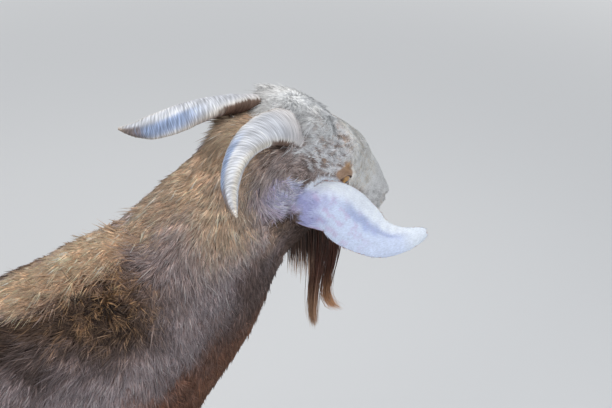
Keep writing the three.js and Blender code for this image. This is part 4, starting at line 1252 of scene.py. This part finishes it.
def strands(paths, widths):
    """Closed tapering hairs along Bezier paths (n, 4, 3): points, faces, each point's share of the length."""
    n, rings, sides = len(paths), HAIR_RINGS, HAIR_SIDES
    s = np.linspace(0, 1, rings)
    b = np.stack([(1 - s) ** 3, 3 * (1 - s) ** 2 * s, 3 * (1 - s) * s * s, s**3], 1)
    line = np.einsum("rk,nkc->nrc", b, paths)
    along = unit(np.gradient(line, axis=1))
    out = unit(np.cross(along, rng.normal(size=(n, 1, 3))))
    other = np.cross(along, out)
    a = circle(sides)
    taper = np.clip(np.minimum(1.0, 0.35 + 3 * s) * (1 - s) ** 0.6, 0.03, 1)
    size = widths[:, None, None, None] / 2 * taper[None, :, None, None]
    across = out[:, :, None] * np.cos(a)[:, None] + FLAT * other[:, :, None] * np.sin(a)[:, None]
    ring = line[:, :, None] + size * across
    verts = np.concatenate([ring.reshape(n, -1, 3), line[:, :1], line[:, -1:]], 1)
    _, one = closed_tube(np.zeros((rings * sides, 3)), rings, sides)
    faces = (np.arange(n)[:, None, None] * verts.shape[1] + one[None]).reshape(-1, 3)
    return verts, faces, np.concatenate([np.repeat(s, sides), [0, 1]])


def beard():
    """Main lock, a lock that curls forward, a dark fringe along the jaw, and pale wisps behind."""
    n = 1250
    kind = rng.choice(4, n, p=[0.33, 0.13, 0.48, 0.06])
    locks = [rng.normal(180, 14, n), rng.normal(194, 9, n)]
    places = locks + [rng.uniform(92, 186, n), rng.uniform(124, 156, n)]
    x0 = np.choose(kind, places).clip(94, 216)
    y0 = rng.normal(0, 5.5, n).clip(-12, 12)
    root_at = np.stack([x0, y0, jaw_z(x0) + 5], 1)
    bits = rng.normal(size=(n, 3))
    down = np.array([0.616, 0, -0.788])  # gravity, in the head's frame
    fall = np.interp(x0, [94, 150, 190], [80, 102, 108])[:, None] * rng.uniform(0.55, 1.04, (n, 1))
    fall = np.where(kind[:, None] == 3, rng.uniform(104, 120, (n, 1)), fall)
    straight = [root_at + down * fall * k + bits * (2 * k + 1) for k in (0.35, 0.7, 1)]
    rows = np.array([
        [(223, 0, -141), (250, 0, -217), (299, 0, -259)],
        [(273, 0, -137), (248, 0, -217), (341, 0, -225)],
    ])[np.minimum(kind, 1)]
    gather = (root_at - [182, 0, -92])[:, None] * np.array([0.35, 0.12, 0])[None, :, None]
    locks = rows + gather + bits[:, None] * [(4.5, 3.5, 3.5), (4, 3, 3.5), (3, 3, 3)]
    locks[:, 2] = locks[:, 1] + (locks[:, 2] - locks[:, 1]) * rng.uniform(0.72, 1.03, (n, 1))
    loose = (kind >= 2)[:, None]
    paths = np.stack([root_at] + [np.where(loose, straight[k], locks[:, k]) for k in range(3)], 1)
    verts, faces, share = strands(from_head(paths * MM), rng.uniform(0.0009, 0.0020, n))
    tone = np.exp(rng.normal(0, 0.22, n))[:, None, None]
    share = share[None, :, None]
    ends = np.array([srgb(c) for c in ["c49c7c", "dea87a", "4a342a", "c4a084"]])[kind][:, None]
    start = np.array([srgb(c) for c in ["54342a", "54342a", "382822", "5a4236"]])[kind][:, None]
    late = ramp(0.45, 1.0, share)
    colors = (start * (1 - late) + ends * late) * tone
    colors = np.broadcast_to(colors, verts.shape).reshape(-1, 3)
    mat, _ = detailed("beard_hair", 900.0, 0.15, 0.2, 0.0003, 0.55, 0.3)
    obj = add_piece("beard_look", verts.reshape(-1, 3), faces, colors, mat, ["beard"])
    # each hair has a patch of its own, at its root's place along and across the chin
    along = np.repeat(np.linspace(-0.5, 0.5, HAIR_RINGS), HAIR_SIDES)
    patch = np.stack([np.tile([-0.4, 0.4, 0.4, -0.4], HAIR_RINGS), along], 1)
    patch = np.vstack([patch, [0, -0.5], [0, 0.5]]) * 0.008
    bake_map(obj, faces, x0, y0 + rng.uniform(0, 1e-3, n), patch)


beard()


def eyeball(sign, word):
    """A ball with a slightly raised clear front, an amber iris and a level slot of a pupil."""
    rings, sides = 90, 96
    th = np.linspace(0.004, math.pi - 0.004, rings)[:, None]
    ph = circle(sides)[None]
    look = EYE_OUT * [1, sign, 1]
    level = np.array([0, 0, 1.0]) @ HEAD_TURN  # straight up, in the head's frame
    ahead = unit(np.cross(level, look))
    rise_way = np.cross(look, ahead)
    around = ahead * np.cos(ph)[..., None] + rise_way * np.sin(ph)[..., None]
    d = look * np.cos(th)[..., None] + around * np.sin(th)[..., None]
    r = EYE_R * 0.985 + 0.55 * np.exp(-((th / 0.60) ** 4)) + 0 * ph
    centre = EYE * [1, sign, 1]
    verts, faces = closed_tube(from_head((centre + d * r[..., None]).reshape(-1, 3) * MM), rings, sides)
    s, t = d @ ahead, d @ rise_way
    wave = 0.05 * np.sin(ph * 9 + 1) + 0.05 * np.sin(ph * 23) + 0.04 * np.sin(ph * 41 + 2)
    out = np.broadcast_to(th, s.shape)
    tone = np.ones((*s.shape, 3)) * srgb("c48e3e")
    streaks = (0.82 + 2.2 * wave * ramp(0.15, 0.4, out))[..., None]
    tone = tone * np.clip(streaks, 0.5, 1.2)
    tone = tone * (1 - 0.55 * ramp(0.50, 0.66, out)[..., None])
    sclera = ramp(0.66, 0.72, out)[..., None]
    tone = tone * (1 - sclera) + srgb("604a3c") * sclera
    slot = ((np.abs(s) / 0.37) ** 5 + (np.abs(t) / 0.125) ** 4)[..., None]
    rim = ramp(1.9, 1.0, slot)
    tone = tone * (1 - 0.6 * rim)
    tone = tone * (1 - ramp(1.15, 0.9, slot)) + srgb("0a090a") * ramp(1.15, 0.9, slot)
    tone = tone.reshape(-1, 3)
    mat, shader = detailed(f"eye_{word}", 1500.0, 0.10, 0.0, 0.0001, 0.12, 0.5)
    shader.inputs["Coat Weight"].default_value = 1.0
    shader.inputs["Coat Roughness"].default_value = 0.03
    add_piece(f"eye_{word}_look", verts, faces, tone, mat, [f"eye_{word}"])


for sign, word in SIDES:
    eyeball(sign, word)

m_hoof, _ = detailed("hoof_horn", 500.0, 0.16, 0.35, 0.0005, 0.5, 0.4)


def hoof_claw(node_name):
    """A cloven hoof's half: flat sole, sloping toe wall, faint growth rings."""
    low, high = (np.array(v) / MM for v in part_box(node_name))
    foot_x = high[0] - 47
    y0 = (low[1] + high[1]) / 2
    leg, word = node_name.rsplit("_", 1)
    other = leg + ("_right" if word == "left" else "_left")
    inner = np.sign(middle(other)[1] / MM - y0)
    levels, sides = 26, 40
    s = np.concatenate([[0, 0.012], np.linspace(0.04, 1, levels - 2)])[:, None]
    a = circle(sides)[None]
    rows = ([-19, -20, -18, -15], [47, 43, 38, 31], [14.6, 15, 14.6, 14])
    heel, toe, half = (np.interp(s, [0, 0.33, 0.62, 1], row) for row in rows)
    trim = 0.5 + 0.9 * np.exp(-s / 0.012) - 0.22 * np.sin(s * 44 + 0.6 * np.cos(a)) * ramp(0.05, 0.2, s)
    along = np.cos(a)
    forward = np.maximum(0, along) ** 2
    x = foot_x + (heel + toe) / 2 + along * ((toe - heel) / 2 - trim)
    y = y0 + np.sin(a) * (half - trim) * (1 - 0.42 * forward) + inner * 3.2 * forward
    z = s * (44 + (x - foot_x - 30) * 0.3)
    verts, faces = closed_tube(grid(x, y, z) * MM, levels, sides)
    v = verts[:-2]
    tone = np.ones((len(v), 3)) * srgb("5c4e44")
    streak = field(v * [1, 1, 0.12], 0.006, 51)
    ring = field(v * [0.2, 0.2, 1], 0.010, 52)
    tone = tone * np.exp(0.16 * streak + 0.10 * ring)[:, None]
    pale = 0.6 * ramp(0.006, 0.0, v[:, 2]) + 0.35 * ramp(0.8, 1.0, np.repeat(s[:, 0], sides))
    tone = paint(tone, "8c7a68", pale)
    add_piece(f"{node_name}_look", verts, faces, tone, m_hoof, [node_name])


def hoof_dewclaw(node_name):
    low, high = (np.array(v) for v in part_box(node_name))
    centre = (low + high) / 2
    th = np.linspace(0.05, math.pi - 0.05, 16)[:, None]
    ph = circle(20)[None]
    ball = grid(np.sin(th) * np.cos(ph), np.sin(th) * np.sin(ph), np.cos(th))
    lean = turn("Y", -34)
    verts = centre + (ball * [0.0078, 0.0058, 0.0088]) @ lean.T
    verts = np.clip(verts, low, high)
    verts, faces = closed_tube(verts, 16, 20, True)
    tone = srgb("54463e") * np.exp(0.14 * field(verts, 0.004, 53))[:, None]
    add_piece(f"{node_name}_look", verts, faces, tone, m_hoof, [node_name])


for name in NODES:
    if "dewclaw" in name:
        hoof_dewclaw(name)
    elif "claw" in name:
        hoof_claw(name)
